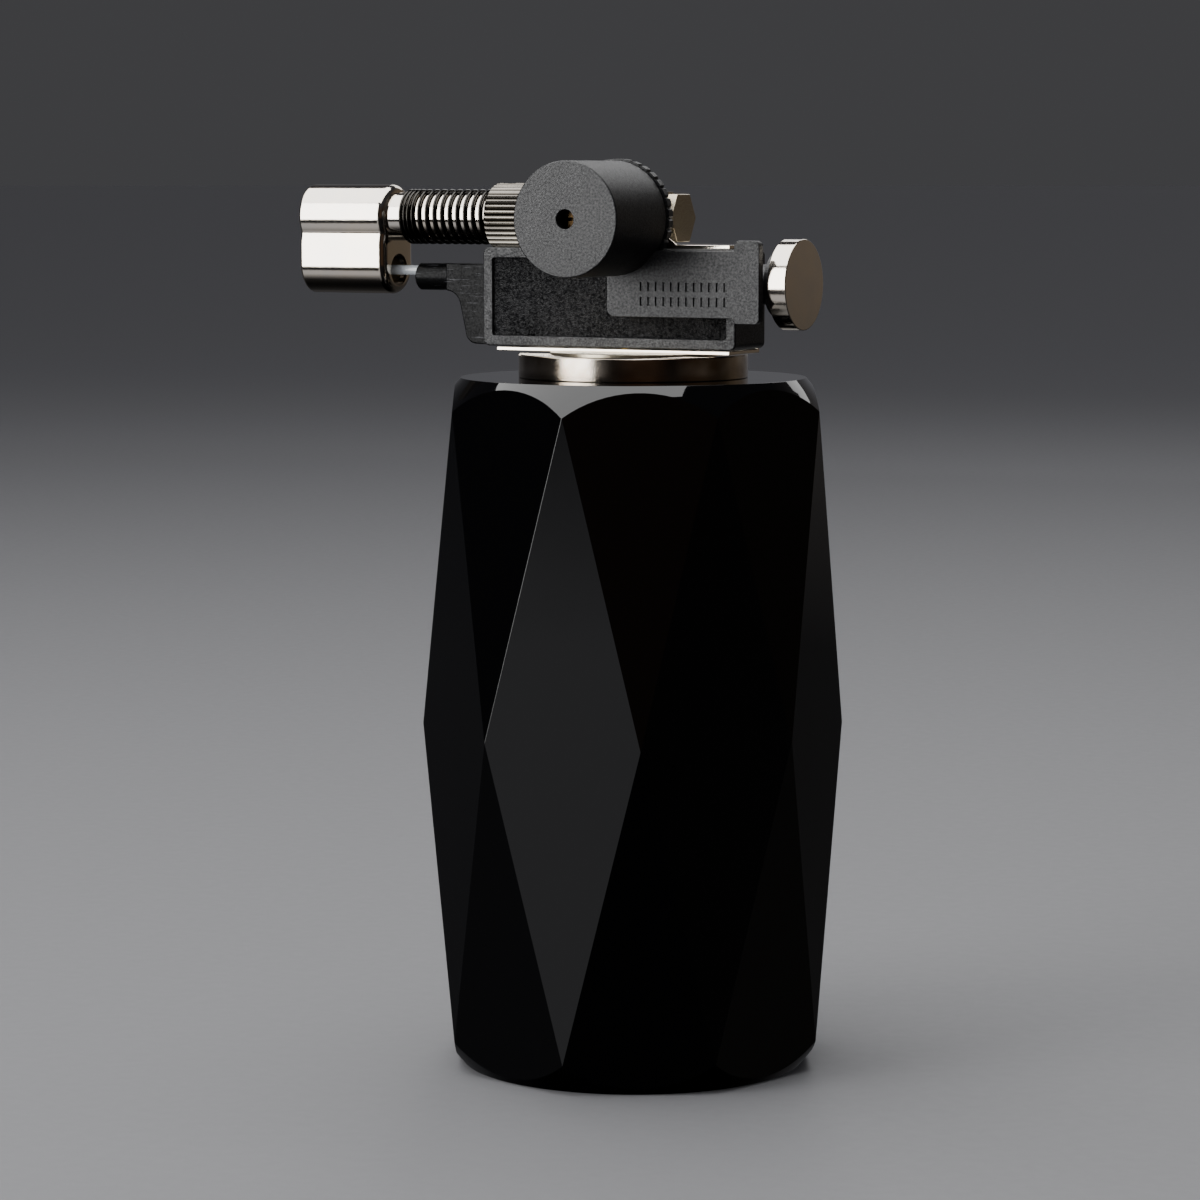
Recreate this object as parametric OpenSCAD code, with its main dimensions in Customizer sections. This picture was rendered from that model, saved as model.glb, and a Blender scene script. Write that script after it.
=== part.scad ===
// Table-top butane torch: cut glass body with a lift-out burner insert.
// Millimetres, +Z up. The origin is the centre of the glass body's flat base.
// The burner points to -X, the gas knob to -Y and the igniter button to +X.

/* [Glass body] */
// height of the glass body
glass_h = 100; // [98:1:104]
// radius to the corners of the widest ring of facets
glass_corner_r = 30.6; // [30:0.2:32]
// height of the widest ring of corners
glass_waist_z = 49.6; // [47:0.2:52]
// turn of the facet corners about the vertical axis
glass_turn = 29.2; // [0:0.2:45]
// height of the low facet points above the base, and of the high ones below the top
facet_point_drop = 4.3; // [3.6:0.1:5]
// radius of the ball-shaped bevel on the top and bottom rims
rim_ball_r = 33.3; // [33:0.1:33.6]

/* [Burner insert] */
// radius of the plated collar ring
collar_r = 16.6; // [16.4:0.1:18]
// height of the collar ring
collar_h = 3.4; // [3:0.05:3.45]
// outer radius of the fuel tank
tank_r = 14.6; // [14.4:0.05:14.6]
// length of the fuel tank
tank_len = 51.5; // [48:0.5:54]

/* [Igniter housing] */
// length of the housing
housing_len = 40.8; // [40.4:0.1:41]
// width of the raised border on the front
border_w = 1.5; // [1.2:0.1:1.8]
// depth of the front panel
panel_depth = 0.5; // [0.3:0.05:0.6]

/* [Burner] */
// outer radius of the burner tube
tube_r = 3.55; // [3.5:0.01:3.56]
// radius of the wire in the coil round the burner tube
coil_wire_r = 0.22; // [0.18:0.01:0.23]
// turns in that coil
coil_turns = 13; // [10:1:14]
// grooves in the air ring
air_ring_grooves = 36; // [24:2:40]
// radius of the head's round upper part
head_top_r = 4.72; // [4.6:0.02:4.8]
// radius of the head's lower part
head_low_r = 4.35; // [4.2:0.05:4.4]

/* [Controls] */
// radius of the stopper's cap
cap_r = 8.17; // [8:0.01:8.3]
// radius of the gas knob's toothed rim
knob_rim_r = 8.45; // [8.2:0.05:8.5]
// teeth on the gas knob's rim
knob_teeth = 34; // [28:2:40]
// radius of the igniter button
button_r = 6.45; // [6:0.05:6.45]
// thickness of the igniter button
button_t = 2.83; // [2.4:0.05:3]

/* [Hidden] */
$fn = 96;
eps = 0.01;
fit_gap = 0.05;
facets = 8;
half_facet = 180 / facets;
facet_apothem = glass_corner_r * cos(half_facet);
bore_r = 15.4;
bore_floor_z = 40;
rim_ball_drop = 22;

tank_wall = 0.5;
tank_top_z = glass_h - 1.5;
tank_bottom_z = tank_top_z - tank_len;
lid_boss_r = 12;
collar_top_z = glass_h + collar_h;
frame_z = glass_h + 3.65;
frame_t = 0.5;
ring_section_r = 0.7;
ring_centre_r = bore_r - 0.08 - ring_section_r;
ring_zs = [tank_top_z - 10.5, tank_top_z - 16.5];
riser_x = -6;
riser_y = 2.1;
riser_r = 0.9;

housing_x0 = -22;
housing_x1 = housing_x0 + housing_len;
housing_y0 = -5.1;
housing_y1 = 4.7;
housing_split_y = -0.2;
housing_z0 = glass_h + 4.3;
housing_z1 = glass_h + 18.6;
cavity_x0 = -20.6;
cavity_x1 = 17.3;
cavity_y0 = -3.7;
cavity_y1 = 3.3;
cavity_z0 = glass_h + 5.8;
cavity_z1 = glass_h + 17.2;
screw_xs = [-17.6, 15.2];
screw_z = glass_h + 7;

burner_z = glass_h + 22.9;
spindle_x = 0.63;
block_x0 = -14.5;
block_x1 = 4.6;
block_y = 3.7;
flange_top_z = glass_h + 19.15;
ring_x0 = -22.2;
ring_x1 = -15.2;
ring_r = 4.95;
head_x0 = -53.9;
head_x1 = -39.2;
lobe_drop = 7.1;
lead_z = glass_h + 15;
lead_r = 0.72;
lead_x1 = -19;
conduit_x0 = -35.4;
conduit_leg_x = -27.6;
conduit_leg_y = 2.1;
conduit_r = 2;
conduit_z = glass_h + 14.1;

stem_y = 0.3;
stem_z = glass_h + 13.6;
stem_r = 2.85;
button_x = 24.18;
lever_x = 8.4;
lever_z = glass_h + 7.1;
stopper_y0 = -7.75;
stopper_y1 = -5.35;
knob_y0 = -19.6;
knob_rim_y0 = -6.6;
knob_rim_y1 = -5.35;
tank_floor = 0.8;
groove_half = 0.8;
groove_floor_r = ring_centre_r - ring_section_r - 0.02;
fill_r = 3.2;
fill_z0 = tank_bottom_z - 1.2;
fill_stem_r = 1.15;
outlet_r = 2.6;
outlet_z0 = glass_h - 7;
outlet_stem_r = 0.7;
stem_head_z = glass_h + 7.75;
passage_r = 0.4;
passage_z = glass_h - 1.4;
riser_gap = 0.5;
riser_bore_r = 0.5;
lid_plug_h = 8;
riser_top_z = glass_h + 21.4;
frame_plate_z = frame_z + frame_t;
frame_x0 = -20;
frame_y0 = -4.6;
frame_y1 = 5.4;
frame_x1 = 17.6;
lug_x0 = 7.6;
lug_x1 = 9.3;
lug_h = 1.3;
lid_screw_xs = [-10, 10];
block_screw_xs = [-11.5, 3.2];
screw_head_r = 1.8;
screw_shank_r = 0.9;
screw_len = 2.3;
housing_screw_r = 0.8;
boss_r = 1.3;
housing_corner_r = 1;
panel_corner_r = 0.4;
tongue_y = 1.5;
tongue_z0 = lead_z - 2;
tongue_z1 = lead_z + 1.6;
tongue_lip = 0.4;
pin_r = 0.6;
screw_cap_r = 1.6;
screw_cap_h = 0.9;
cross_half = 0.2;
cross_reach = 1.2;
stem_x0 = 10;
case_x0 = -18.3;
case_x1 = 3.5;
case_y0 = -3.5;
case_y1 = 0.9;
case_z0 = glass_h + 9.8;
case_z1 = glass_h + 17;
case_wall = 0.5;
plunger_x0 = -4;
foot_z = glass_h + 9.35;
foot_x0 = 12;
foot_x1 = 16.8;
foot_half_y = 1.2;
lever_y = 1.5;
lever_tip_x = -1.4;
lever_arm_len = 4.35;
sleeve_x0 = -49.6;
sleeve_x1 = -44;
sleeve_r = 1.9;
spark_bore_r = 3;
mouth_slot_y = 1.8;
lead_hole_r = 2.4;
head_socket_x = -42;
electrode_r = 0.35;
electrode_x = -51;
head_bevel = 0.6;
lobe_z0 = burner_z - lobe_drop;
lobe_z1 = lobe_z0 + 2.9;
flame_r = 3.7;
flame_plate_x0 = -46;
flame_plate_x1 = -44.6;
flame_hole_r = 0.6;
flame_hole_circle_r = 2.3;
tube_bore_r = 2.65;
air_hole_r = 1;
air_hole_x = -20.3;
coil_x0 = -37.3;
coil_x1 = -22.4;
groove_side = 0.5;
plug_thread_r = 1.75;
spindle_r = 1.5;
knob_barrel_r = 6.2;
knob_flutes = 18;
tooth_side = 0.45;
pinhole_r = 1.35;
stopper_x0 = -0.3;
plate_z0 = glass_h + 8.95;
plate_z1 = glass_h + 18.4;
crossbar_x0 = 19.8;
crossbar_x1 = 23.7;
crossbar_back_y = -6.45;
dashes = 12;
dash_x0 = 5;
dash_pitch = 1.2;
dash_w = 0.6;
dash_z0 = plate_z0 + 1.6;
dash_h = 1.3;
dash_depth = 0.25;
row_pitch = 2.1;
cap_y0 = -22.18;
cap_y1 = knob_rim_y0 - 0.35;
cap_wall = 1.42;
cap_face_t = 1.78;
plate_corner_r = 1.2;
crossbar_corner_r = 0.8;
crossbar_z0 = plate_z0 - 0.75;
crossbar_z1 = plate_z1 + 1.5;

// ---------- shared shapes ----------

// cylinder along X from x0 to x1, centred on y, z
module bar_x(x0, x1, r, y, z) {
    translate([x0, y, z])
        rotate([0, 90, 0])
            cylinder(r = r, h = x1 - x0);
}

// cylinder along Y from y0 to y1, centred on x, z
module bar_y(y0, y1, r, x, z) {
    translate([x, y1, z])
        rotate([90, 0, 0])
            cylinder(r = r, h = y1 - y0);
}

// upright cylinder from z0 to z1
module bar_z(z0, z1, r, x = 0, y = 0) {
    translate([x, y, z0])
        cylinder(r = r, h = z1 - z0);
}

// box given by its two corners
module box(x0, x1, y0, y1, z0, z1) {
    translate([x0, y0, z0])
        cube([x1 - x0, y1 - y0, z1 - z0]);
}

// box with round corners seen along Y
module round_box(x0, x1, y0, y1, z0, z1, r) {
    box(x0 + r, x1 - r, y0, y1, z0, z1);
    box(x0, x1, y0, y1, z0 + r, z1 - r);
    for (x = [x0 + r, x1 - r], z = [z0 + r, z1 - r])
        bar_y(y0, y1, r, x, z);
}

// hexagonal bar along Z with two flats across Y, given its width across flats
module hex_bar(flats, h) {
    cylinder(r = flats / sqrt(3), h = h, $fn = 6);
}

// coiled round wire about +Z; close_turns of the turns are wound at the closer pitch
module coil(radius, wire_r, len, turns, close_turns = 0, close_pitch = 1, segs = 24, sides = 8) {
    open_pitch = (len - close_turns * close_pitch) / (turns - close_turns);
    steps = turns * segs;
    points = [
        for (i = [0 : steps], k = [0 : sides - 1])
            let (t = i / segs,
                 z = t < close_turns ? t * close_pitch
                     : close_turns * close_pitch + (t - close_turns) * open_pitch,
                 a = 360 * t, b = 360 * k / sides,
                 r = radius + wire_r * cos(b))
            [r * cos(a), r * sin(a), z + wire_r * sin(b)]
    ];
    skin = [
        for (i = [0 : steps - 1], k = [0 : sides - 1])
            let (n = (k + 1) % sides, p = i * sides, q = p + sides)
            [p + k, q + k, q + n, p + n]
    ];
    cap_start = [[for (k = [0 : sides - 1]) k]];
    cap_end = [[for (k = [sides - 1 : -1 : 0]) steps * sides + k]];
    polyhedron(points = points, faces = concat(skin, cap_start, cap_end), convexity = 10);
}

// ---------- glass body ----------

// block that planes one slanted facet; up is 1 for the upper ring, -1 for the lower one
module facet_cutter(up) {
    point_z = up > 0 ? glass_h - facet_point_drop : facet_point_drop;
    rise = abs(point_z - glass_waist_z);
    tilt = atan((glass_corner_r - facet_apothem * cos(half_facet)) / rise);
    reach = 80;
    thickness = 20;
    translate([glass_corner_r, 0, glass_waist_z])
        rotate([0, -up * tilt, 0])
            translate([0, -reach / 2, up > 0 ? 0 : -reach])
                cube([thickness, reach, reach]);
}

module glass_body() {
    color([0.02, 0.02, 0.022])
    difference() {
        intersection() {
            rotate([0, 0, glass_turn])
                cylinder(r = glass_corner_r, h = glass_h, $fn = facets);
            union() {
                bar_z(rim_ball_drop, glass_h - rim_ball_drop, rim_ball_r);
                for (z = [rim_ball_drop, glass_h - rim_ball_drop])
                    translate([0, 0, z])
                        sphere(r = rim_ball_r);
            }
        }
        for (k = [0 : facets - 1], up = [-1, 1])
            rotate([0, 0, glass_turn + k * 360 / facets])
                facet_cutter(up);
        bar_z(bore_floor_z, glass_h + 1, bore_r);
    }
}

// ---------- fuel tank and its valves ----------

// groove or bead that runs round the tank at height z
module tank_band(z, half_h, inner_r, outer_r) {
    difference() {
        bar_z(z - half_h, z + half_h, outer_r);
        bar_z(z - half_h - 1, z + half_h + 1, inner_r);
    }
}

module fuel_tank() {
    color([0.75, 0.75, 0.76])
    difference() {
        bar_z(tank_bottom_z, tank_top_z, tank_r);
        difference() {
            bar_z(tank_bottom_z + tank_floor, tank_top_z + 1, tank_r - tank_wall);
            for (z = ring_zs)
                tank_band(z, groove_half + tank_wall, groove_floor_r - tank_wall, tank_r);
        }
        for (z = ring_zs)
            tank_band(z, groove_half, groove_floor_r, tank_r + 1);
        bar_z(tank_bottom_z - 1, tank_bottom_z + tank_floor + 1, fill_r + fit_gap);
    }
}

module grip_rings() {
    color([0.05, 0.05, 0.05])
    for (z = ring_zs)
        translate([0, 0, z])
            rotate_extrude()
                translate([ring_centre_r, 0])
                    circle(r = ring_section_r, $fn = 32);
}

module tank_lid() {
    color([0.72, 0.62, 0.36])
    difference() {
        union() {
            bar_z(glass_h - lid_plug_h, tank_top_z, tank_r - tank_wall - fit_gap);
            bar_z(tank_top_z, glass_h, tank_r);
            bar_z(glass_h, frame_z, lid_boss_r);
        }
        bar_z(glass_h - lid_plug_h - 1, frame_z + 1, outlet_r + fit_gap);
        bar_z(passage_z - riser_gap, frame_z + 1, riser_r + fit_gap, riser_x, riser_y);
        rotate([0, 0, atan2(riser_y, riser_x)])
            bar_x(0, norm([riser_x, riser_y]), passage_r, 0, passage_z);
        for (x = lid_screw_xs)
            bar_z(frame_plate_z - screw_len - 0.5, frame_z + 1, screw_shank_r + fit_gap, x);
    }
}

module neck_collar() {
    color([0.8, 0.76, 0.68])
    rotate_extrude()
        polygon([[lid_boss_r + fit_gap, glass_h], [collar_r - 0.2, glass_h],
            [collar_r, glass_h + 0.2], [collar_r, collar_top_z - 0.4],
            [collar_r - 0.4, collar_top_z], [lid_boss_r + fit_gap, collar_top_z]]);
}

module pickup_tube() {
    color([0.85, 0.85, 0.82])
    difference() {
        bar_z(tank_bottom_z + 9, outlet_z0, 1.2);
        bar_z(tank_bottom_z + 8, outlet_z0 + 1, 0.7);
    }
}

module fill_valve_body() {
    color([0.72, 0.6, 0.3])
    difference() {
        union() {
            bar_z(fill_z0, fill_z0 + 8, fill_r);
            bar_z(fill_z0, tank_bottom_z, fill_r + 1.3);
        }
        bar_z(fill_z0 - 1, fill_z0 + 5, fill_stem_r + 0.07);
        bar_z(fill_z0 + 4.4, fill_z0 + 7.4, 2.25);
        bar_z(fill_z0 + 7, fill_z0 + 9, 0.7);
    }
}

module fill_valve_gasket() {
    color([0.06, 0.06, 0.06])
    difference() {
        bar_z(fill_z0 + 4.42, fill_z0 + 4.9, 2.2);
        bar_z(fill_z0 + 4, fill_z0 + 6, fill_stem_r + 0.07);
    }
}

module fill_valve_stem() {
    color([0.72, 0.6, 0.3])
    difference() {
        union() {
            bar_z(fill_z0 + 0.4, fill_z0 + 5.2, fill_stem_r);
            bar_z(fill_z0 + 4.95, fill_z0 + 5.6, 1.9);
        }
        bar_z(fill_z0, fill_z0 + 2.5, 0.5);
    }
}

module fill_valve_spring() {
    color([0.7, 0.7, 0.72])
    translate([0, 0, fill_z0 + 5.75])
        coil(radius = 1.3, wire_r = 0.13, len = 1.4, turns = 3, segs = 16, sides = 6);
}

module outlet_valve_body() {
    color([0.72, 0.6, 0.3])
    difference() {
        bar_z(outlet_z0, glass_h + 5.2, outlet_r);
        bar_z(outlet_z0 - 1, outlet_z0 + 2, 0.4);
        bar_z(outlet_z0 + 1.6, glass_h - 0.8, 1.95);
        bar_z(glass_h - 1, glass_h + 6, outlet_stem_r + 0.07);
        rotate([0, 0, atan2(riser_y, riser_x)])
            bar_x(1, outlet_r + 1, passage_r, 0, passage_z);
    }
}

module outlet_valve_stem() {
    color([0.72, 0.6, 0.3]) {
        bar_z(outlet_z0 + 2.6, outlet_z0 + 3.3, 1.6);
        bar_z(outlet_z0 + 2.6, stem_head_z + 0.65, outlet_stem_r);
        bar_z(stem_head_z, stem_head_z + 0.65, 1.6);
    }
}

module outlet_valve_seal() {
    color([0.06, 0.06, 0.06])
    bar_z(outlet_z0 + 1.65, outlet_z0 + 2.6, 1.4);
}

module outlet_valve_spring() {
    color([0.7, 0.7, 0.72])
    translate([0, 0, outlet_z0 + 3.5])
        coil(radius = 1.2, wire_r = 0.15, len = 2.3, turns = 4, segs = 16, sides = 6);
}

module gas_riser() {
    color([0.75, 0.45, 0.3])
    difference() {
        bar_z(passage_z + riser_gap, riser_top_z, riser_r, riser_x, riser_y);
        bar_z(passage_z, riser_top_z + 1, riser_bore_r, riser_x, riser_y);
    }
}

// ---------- frame ----------

module frame_bracket() {
    color([0.8, 0.76, 0.68])
    difference() {
        union() {
            box(frame_x0, frame_x1, frame_y0, frame_y1, frame_z, frame_plate_z);
            box(frame_x0, frame_x1, frame_y1 - frame_t, frame_y1, frame_z, flange_top_z);
            box(block_x0, frame_x1, frame_y0, frame_y1, flange_top_z - frame_t, flange_top_z);
            translate([0, frame_y0 + frame_t, 0])
                rotate([90, 0, 0])
                    linear_extrude(frame_t)
                        polygon([[lug_x0, flange_top_z - frame_t], [lug_x1, flange_top_z - frame_t],
                            [lug_x1, flange_top_z], [lug_x0, flange_top_z + lug_h]]);
        }
        bar_z(frame_z - 1, frame_plate_z + 1, outlet_r + 0.1);
        bar_z(frame_z - 1, flange_top_z + 1, riser_r + 0.1, riser_x, riser_y);
        for (x = screw_xs)
            bar_y(frame_y1 - 1, frame_y1 + 1, housing_screw_r + 0.15, x, screw_z);
        for (x = lid_screw_xs)
            small_screw(x, frame_plate_z, 1, fit_gap);
        for (x = block_screw_xs)
            small_screw(x, flange_top_z - frame_t, -1, fit_gap);
    }
}

// countersunk screw with its flat head at height z; down is 1 for a screw that points down,
// and gap is added all round for the hole it sits in
module small_screw(x, z, down, gap = 0) {
    translate([x, 0, z])
        mirror([0, 0, down > 0 ? 1 : 0]) {
            cylinder(r1 = screw_head_r + gap, r2 = screw_shank_r + gap, h = frame_t);
            cylinder(r = screw_shank_r + gap, h = screw_len);
        }
}

module frame_screws() {
    color([0.7, 0.7, 0.7]) {
        for (x = lid_screw_xs)
            small_screw(x, frame_plate_z, 1);
        for (x = block_screw_xs)
            small_screw(x, flange_top_z - frame_t, -1);
    }
}

// ---------- igniter housing ----------

module housing_cuts() {
    bar_x(cavity_x1 - 1, housing_x1 + 1, stem_r + 0.1, stem_y, stem_z);
    box(housing_x0 - 1, cavity_x0 + 1, -tongue_y - fit_gap, tongue_y + fit_gap,
        tongue_z0 - fit_gap, tongue_z1 + fit_gap);
    bar_z(housing_z0 - 1, cavity_z0 + 1, outlet_r + 0.2);
    bar_z(housing_z0 - 1, housing_z1 + 1, riser_r + 0.15, riser_x, riser_y);
    bar_y(-4.5, 4.1, pin_r + 0.02, lever_x, lever_z);
    for (x = screw_xs)
        bar_y(-3.3, housing_y1 + 1, housing_screw_r + 0.04, x, screw_z);
    bar_x(ring_x0 - 1, ring_x1 + 0.3, ring_r + 0.15, 0, burner_z);
}

// half of the housing between two planes across Y
module housing_shell(y0, y1) {
    difference() {
        union() {
            difference() {
                round_box(housing_x0, housing_x1, y0, y1, housing_z0, housing_z1, housing_corner_r);
                box(cavity_x0, cavity_x1, max(y0 - 1, cavity_y0), min(y1 + 1, cavity_y1),
                    cavity_z0, cavity_z1);
            }
            for (x = screw_xs)
                bar_y(max(y0, cavity_y0 - eps), min(y1, cavity_y1 + eps), boss_r, x, screw_z);
        }
        housing_cuts();
    }
}

module housing_front() {
    color([0.07, 0.07, 0.07])
    difference() {
        housing_shell(housing_y0, housing_split_y);
        round_box(housing_x0 + border_w, housing_x1 - border_w, housing_y0 - 1, housing_y0 + panel_depth,
            housing_z0 + border_w, housing_z1 - border_w, panel_corner_r);
    }
}

module housing_rear() {
    color([0.07, 0.07, 0.07])
    housing_shell(housing_split_y, housing_y1);
}

module housing_screws() {
    color([0.7, 0.7, 0.7])
    for (x = screw_xs)
        difference() {
            union() {
                bar_y(-3.2, frame_y1, housing_screw_r, x, screw_z);
                bar_y(frame_y1, frame_y1 + screw_cap_h, screw_cap_r, x, screw_z);
            }
            for (arm = [[cross_reach, cross_half], [cross_half, cross_reach]])
                box(x - arm[0], x + arm[0], frame_y1 + screw_cap_h / 2, frame_y1 + 2,
                    screw_z - arm[1], screw_z + arm[1]);
        }
}

// ---------- igniter ----------

module piezo_case() {
    color([0.85, 0.83, 0.78])
    difference() {
        box(case_x0, case_x1, case_y0, case_y1, case_z0, case_z1);
        box(case_x0 + 4.3, case_x1 + 1, case_y0 + case_wall, case_y1 - case_wall,
            case_z0 + 0.7, case_z1 - 0.7);
    }
}

module piezo_contact() {
    color([0.75, 0.6, 0.3])
    bar_x(lead_x1, case_x0, 0.85, 0, lead_z);
}

module piezo_plunger() {
    color([0.85, 0.83, 0.78])
    box(plunger_x0, stem_x0, case_y0 + case_wall + 0.1, case_y1 - case_wall - 0.1,
        case_z0 + 0.8, case_z1 - 0.8);
}

module piezo_spring() {
    color([0.7, 0.7, 0.72])
    translate([-13.7, -1.3, glass_h + 13.4])
        rotate([0, 90, 0])
            coil(radius = 1.25, wire_r = 0.2, len = 9.3, turns = 9, segs = 16, sides = 6);
}

module button_stem() {
    color([0.06, 0.06, 0.06]) {
        bar_x(stem_x0, button_x, stem_r, stem_y, stem_z);
        bar_x(button_x - 1.48, button_x, 4.63, stem_y, stem_z);
        bar_x(button_x, button_x + 1.3, 1.95, stem_y, stem_z);
        translate([0, foot_half_y, 0])
            rotate([90, 0, 0])
                linear_extrude(2 * foot_half_y)
                    polygon([[foot_x0, foot_z], [foot_x1, foot_z - 0.6],
                        [foot_x1, stem_z - 2.2], [foot_x0, stem_z - 2.2]]);
    }
}

module button_cap() {
    color([0.8, 0.74, 0.66])
    translate([button_x, stem_y, stem_z])
        rotate([0, 90, 0])
            rotate_extrude()
                polygon([[0, 1.35], [2, 1.35], [2, 0], [button_r - 0.3, 0], [button_r, 0.3],
                    [button_r, button_t - 0.35], [button_r - 0.35, button_t], [0, button_t]]);
}

module gas_lever() {
    color([0.75, 0.75, 0.76])
    difference() {
        union() {
            bar_y(-lever_y, lever_y, 1, lever_x, lever_z);
            box(1.9, lever_x, -lever_y, lever_y, lever_z - 0.2, lever_z + 0.4);
            for (y = [-lever_y, lever_y - 0.5])
                box(lever_tip_x, 2, y, y + 0.5, lever_z - 0.2, lever_z + 0.4);
            translate([lever_x, -foot_half_y, lever_z])
                rotate([0, -23, 0])
                    translate([0, 0, -0.3])
                        cube([lever_arm_len, 2 * foot_half_y, 0.6]);
            bar_y(-foot_half_y, foot_half_y, 0.4, lever_x + 4, lever_z + 1.7);
        }
        bar_y(-3, 3, pin_r + 0.05, lever_x, lever_z);
    }
}

module lever_pin() {
    color([0.7, 0.7, 0.7])
    bar_y(-4.4, 4, pin_r, lever_x, lever_z);
}

module lead_conduit() {
    color([0.06, 0.06, 0.06])
    difference() {
        union() {
            bar_x(conduit_x0, conduit_leg_x + 1.6, conduit_r, 0, conduit_z);
            translate([0, conduit_leg_y, 0])
                rotate([90, 0, 0])
                    linear_extrude(2 * conduit_leg_y)
                        polygon([[conduit_leg_x, conduit_z + conduit_r], [conduit_leg_x, conduit_z - conduit_r],
                            [-26.5, housing_z0 + 2.3], [-25.9, housing_z0 + 0.9], [-24.6, housing_z0],
                            [housing_x0, housing_z0], [housing_x0, conduit_z + conduit_r]]);
            box(housing_x0 - 1, cavity_x0, -tongue_y, tongue_y, tongue_z0, tongue_z1);
            box(cavity_x0, cavity_x0 + tongue_lip, -tongue_y - 0.5, tongue_y + 0.5,
                tongue_z0 - tongue_lip, tongue_z1 + tongue_lip);
        }
        bar_x(conduit_x0 - 1, lead_x1, lead_r + 0.06, 0, lead_z);
    }
}

module ignition_lead() {
    color([0.92, 0.93, 0.94])
    bar_x(sleeve_x1, lead_x1, lead_r, 0, lead_z);
}

module electrode_sleeve() {
    color([0.93, 0.92, 0.88])
    difference() {
        bar_x(sleeve_x0, sleeve_x1, sleeve_r, 0, lead_z);
        bar_x(sleeve_x0 - 1, sleeve_x1 + 1, electrode_r + 0.02, 0, lead_z);
    }
}

module spark_electrode() {
    color([0.6, 0.6, 0.62]) {
        bar_x(electrode_x, sleeve_x1, electrode_r, 0, lead_z);
        bar_z(lead_z, lead_z + 3.6, electrode_r, electrode_x, 0);
        translate([electrode_x, 0, lead_z])
            sphere(r = electrode_r);
    }
}

// ---------- burner ----------

// bar along X with a cone bevel at both ends
module bevelled_bar_x(x0, x1, r, y, z, bevel) {
    bar_x(x0 + bevel, x1 - bevel, r, y, z);
    for (end = [[x0 + bevel, 180], [x1 - bevel, 0]])
        translate([end[0], y, z])
            rotate([0, 90 + end[1], 0])
                cylinder(r1 = r, r2 = r - bevel, h = bevel);
}

module head_outline() {
    bevelled_bar_x(head_x0, head_x1, head_top_r, 0, burner_z, head_bevel);
    for (z = [lobe_z0, lobe_z1])
        bevelled_bar_x(head_x0, head_x1, head_low_r, 0, z, head_bevel);
    translate([0, 0, lobe_z0])
        linear_extrude(lobe_z1 - lobe_z0)
            polygon([[head_x0, -head_low_r + head_bevel], [head_x0 + head_bevel, -head_low_r],
                [head_x1 - head_bevel, -head_low_r], [head_x1, -head_low_r + head_bevel],
                [head_x1, head_low_r - head_bevel], [head_x1 - head_bevel, head_low_r],
                [head_x0 + head_bevel, head_low_r], [head_x0, head_low_r - head_bevel]]);
}

module nozzle_head() {
    color([0.84, 0.8, 0.74])
    difference() {
        head_outline();
        bar_x(head_socket_x, head_x1 + 1, tube_r + 0.03, 0, burner_z);
        bar_x(head_x0 - 1, head_socket_x + 0.5, flame_r, 0, burner_z);
        bar_x(head_x1 - 0.8, head_x1 + 1, lead_hole_r, 0, lead_z);
        bar_x(sleeve_x0 - 0.3, head_x1, sleeve_r + fit_gap, 0, lead_z);
        bar_x(head_x0 - 1, sleeve_x0, spark_bore_r, 0, lead_z);
        box(head_x0 - 1, sleeve_x0 + 0.1, -mouth_slot_y, mouth_slot_y, lead_z, burner_z);
    }
}

module flame_plate() {
    color([0.6, 0.58, 0.54])
    difference() {
        bar_x(flame_plate_x0, flame_plate_x1, flame_r - fit_gap, 0, burner_z);
        bar_x(flame_plate_x0 - 1, flame_plate_x1 + 1, flame_hole_r, 0, burner_z);
        for (k = [0 : 7])
            rotate_about_burner(45 * k)
                bar_x(flame_plate_x0 - 1, flame_plate_x1 + 1, flame_hole_r, flame_hole_circle_r, burner_z);
    }
}

module rotate_about_burner(angle) {
    translate([0, 0, burner_z])
        rotate([angle, 0, 0])
            translate([0, 0, -burner_z])
                children();
}

module burner_tube() {
    color([0.84, 0.82, 0.78])
    difference() {
        bar_x(head_socket_x + 0.1, block_x0 - 0.5, tube_r, 0, burner_z);
        bar_x(head_socket_x - 1, block_x0, tube_bore_r, 0, burner_z);
        bar_z(burner_z - 5, burner_z + 5, air_hole_r, air_hole_x);
    }
}

module wire_coil() {
    color([0.12, 0.12, 0.12])
    translate([coil_x0 + coil_wire_r, 0, burner_z])
        rotate([0, 90, 0])
            coil(radius = tube_r + 0.05 + coil_wire_r, wire_r = coil_wire_r,
                len = coil_x1 - coil_x0 - 2 * coil_wire_r, turns = coil_turns,
                close_turns = 4, close_pitch = 0.9);
}

module air_ring() {
    color([0.8, 0.76, 0.68])
    difference() {
        bevelled_bar_x(ring_x0, ring_x1, ring_r, 0, burner_z, 0.3);
        bar_x(ring_x0 - 1, ring_x1 + 1, tube_r + 0.07, 0, burner_z);
        bar_z(burner_z - 6, burner_z + 6, air_hole_r, air_hole_x);
        for (k = [0 : air_ring_grooves - 1])
            rotate_about_burner(360 / air_ring_grooves * (k + 0.5))
                translate([ring_x0 - 1, ring_r, burner_z])
                    rotate([45, 0, 0])
                        translate([0, -groove_side / 2, -groove_side / 2])
                            cube([ring_x1 - ring_x0 + 2, groove_side, groove_side]);
        rotate_about_burner(-38)
            bar_y(-6, -tube_r, 0.5, ring_x1 - 1.3, burner_z);
    }
}

module gas_jet() {
    color([0.72, 0.6, 0.3])
    difference() {
        union() {
            bar_x(-19, block_x0 - 0.5, 2.5, 0, burner_z);
            bar_x(block_x0 - 0.5, block_x0 + 1.9, 1.5, 0, burner_z);
        }
        bar_x(-20, block_x0 + 3, 0.25, 0, burner_z);
    }
}

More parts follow.
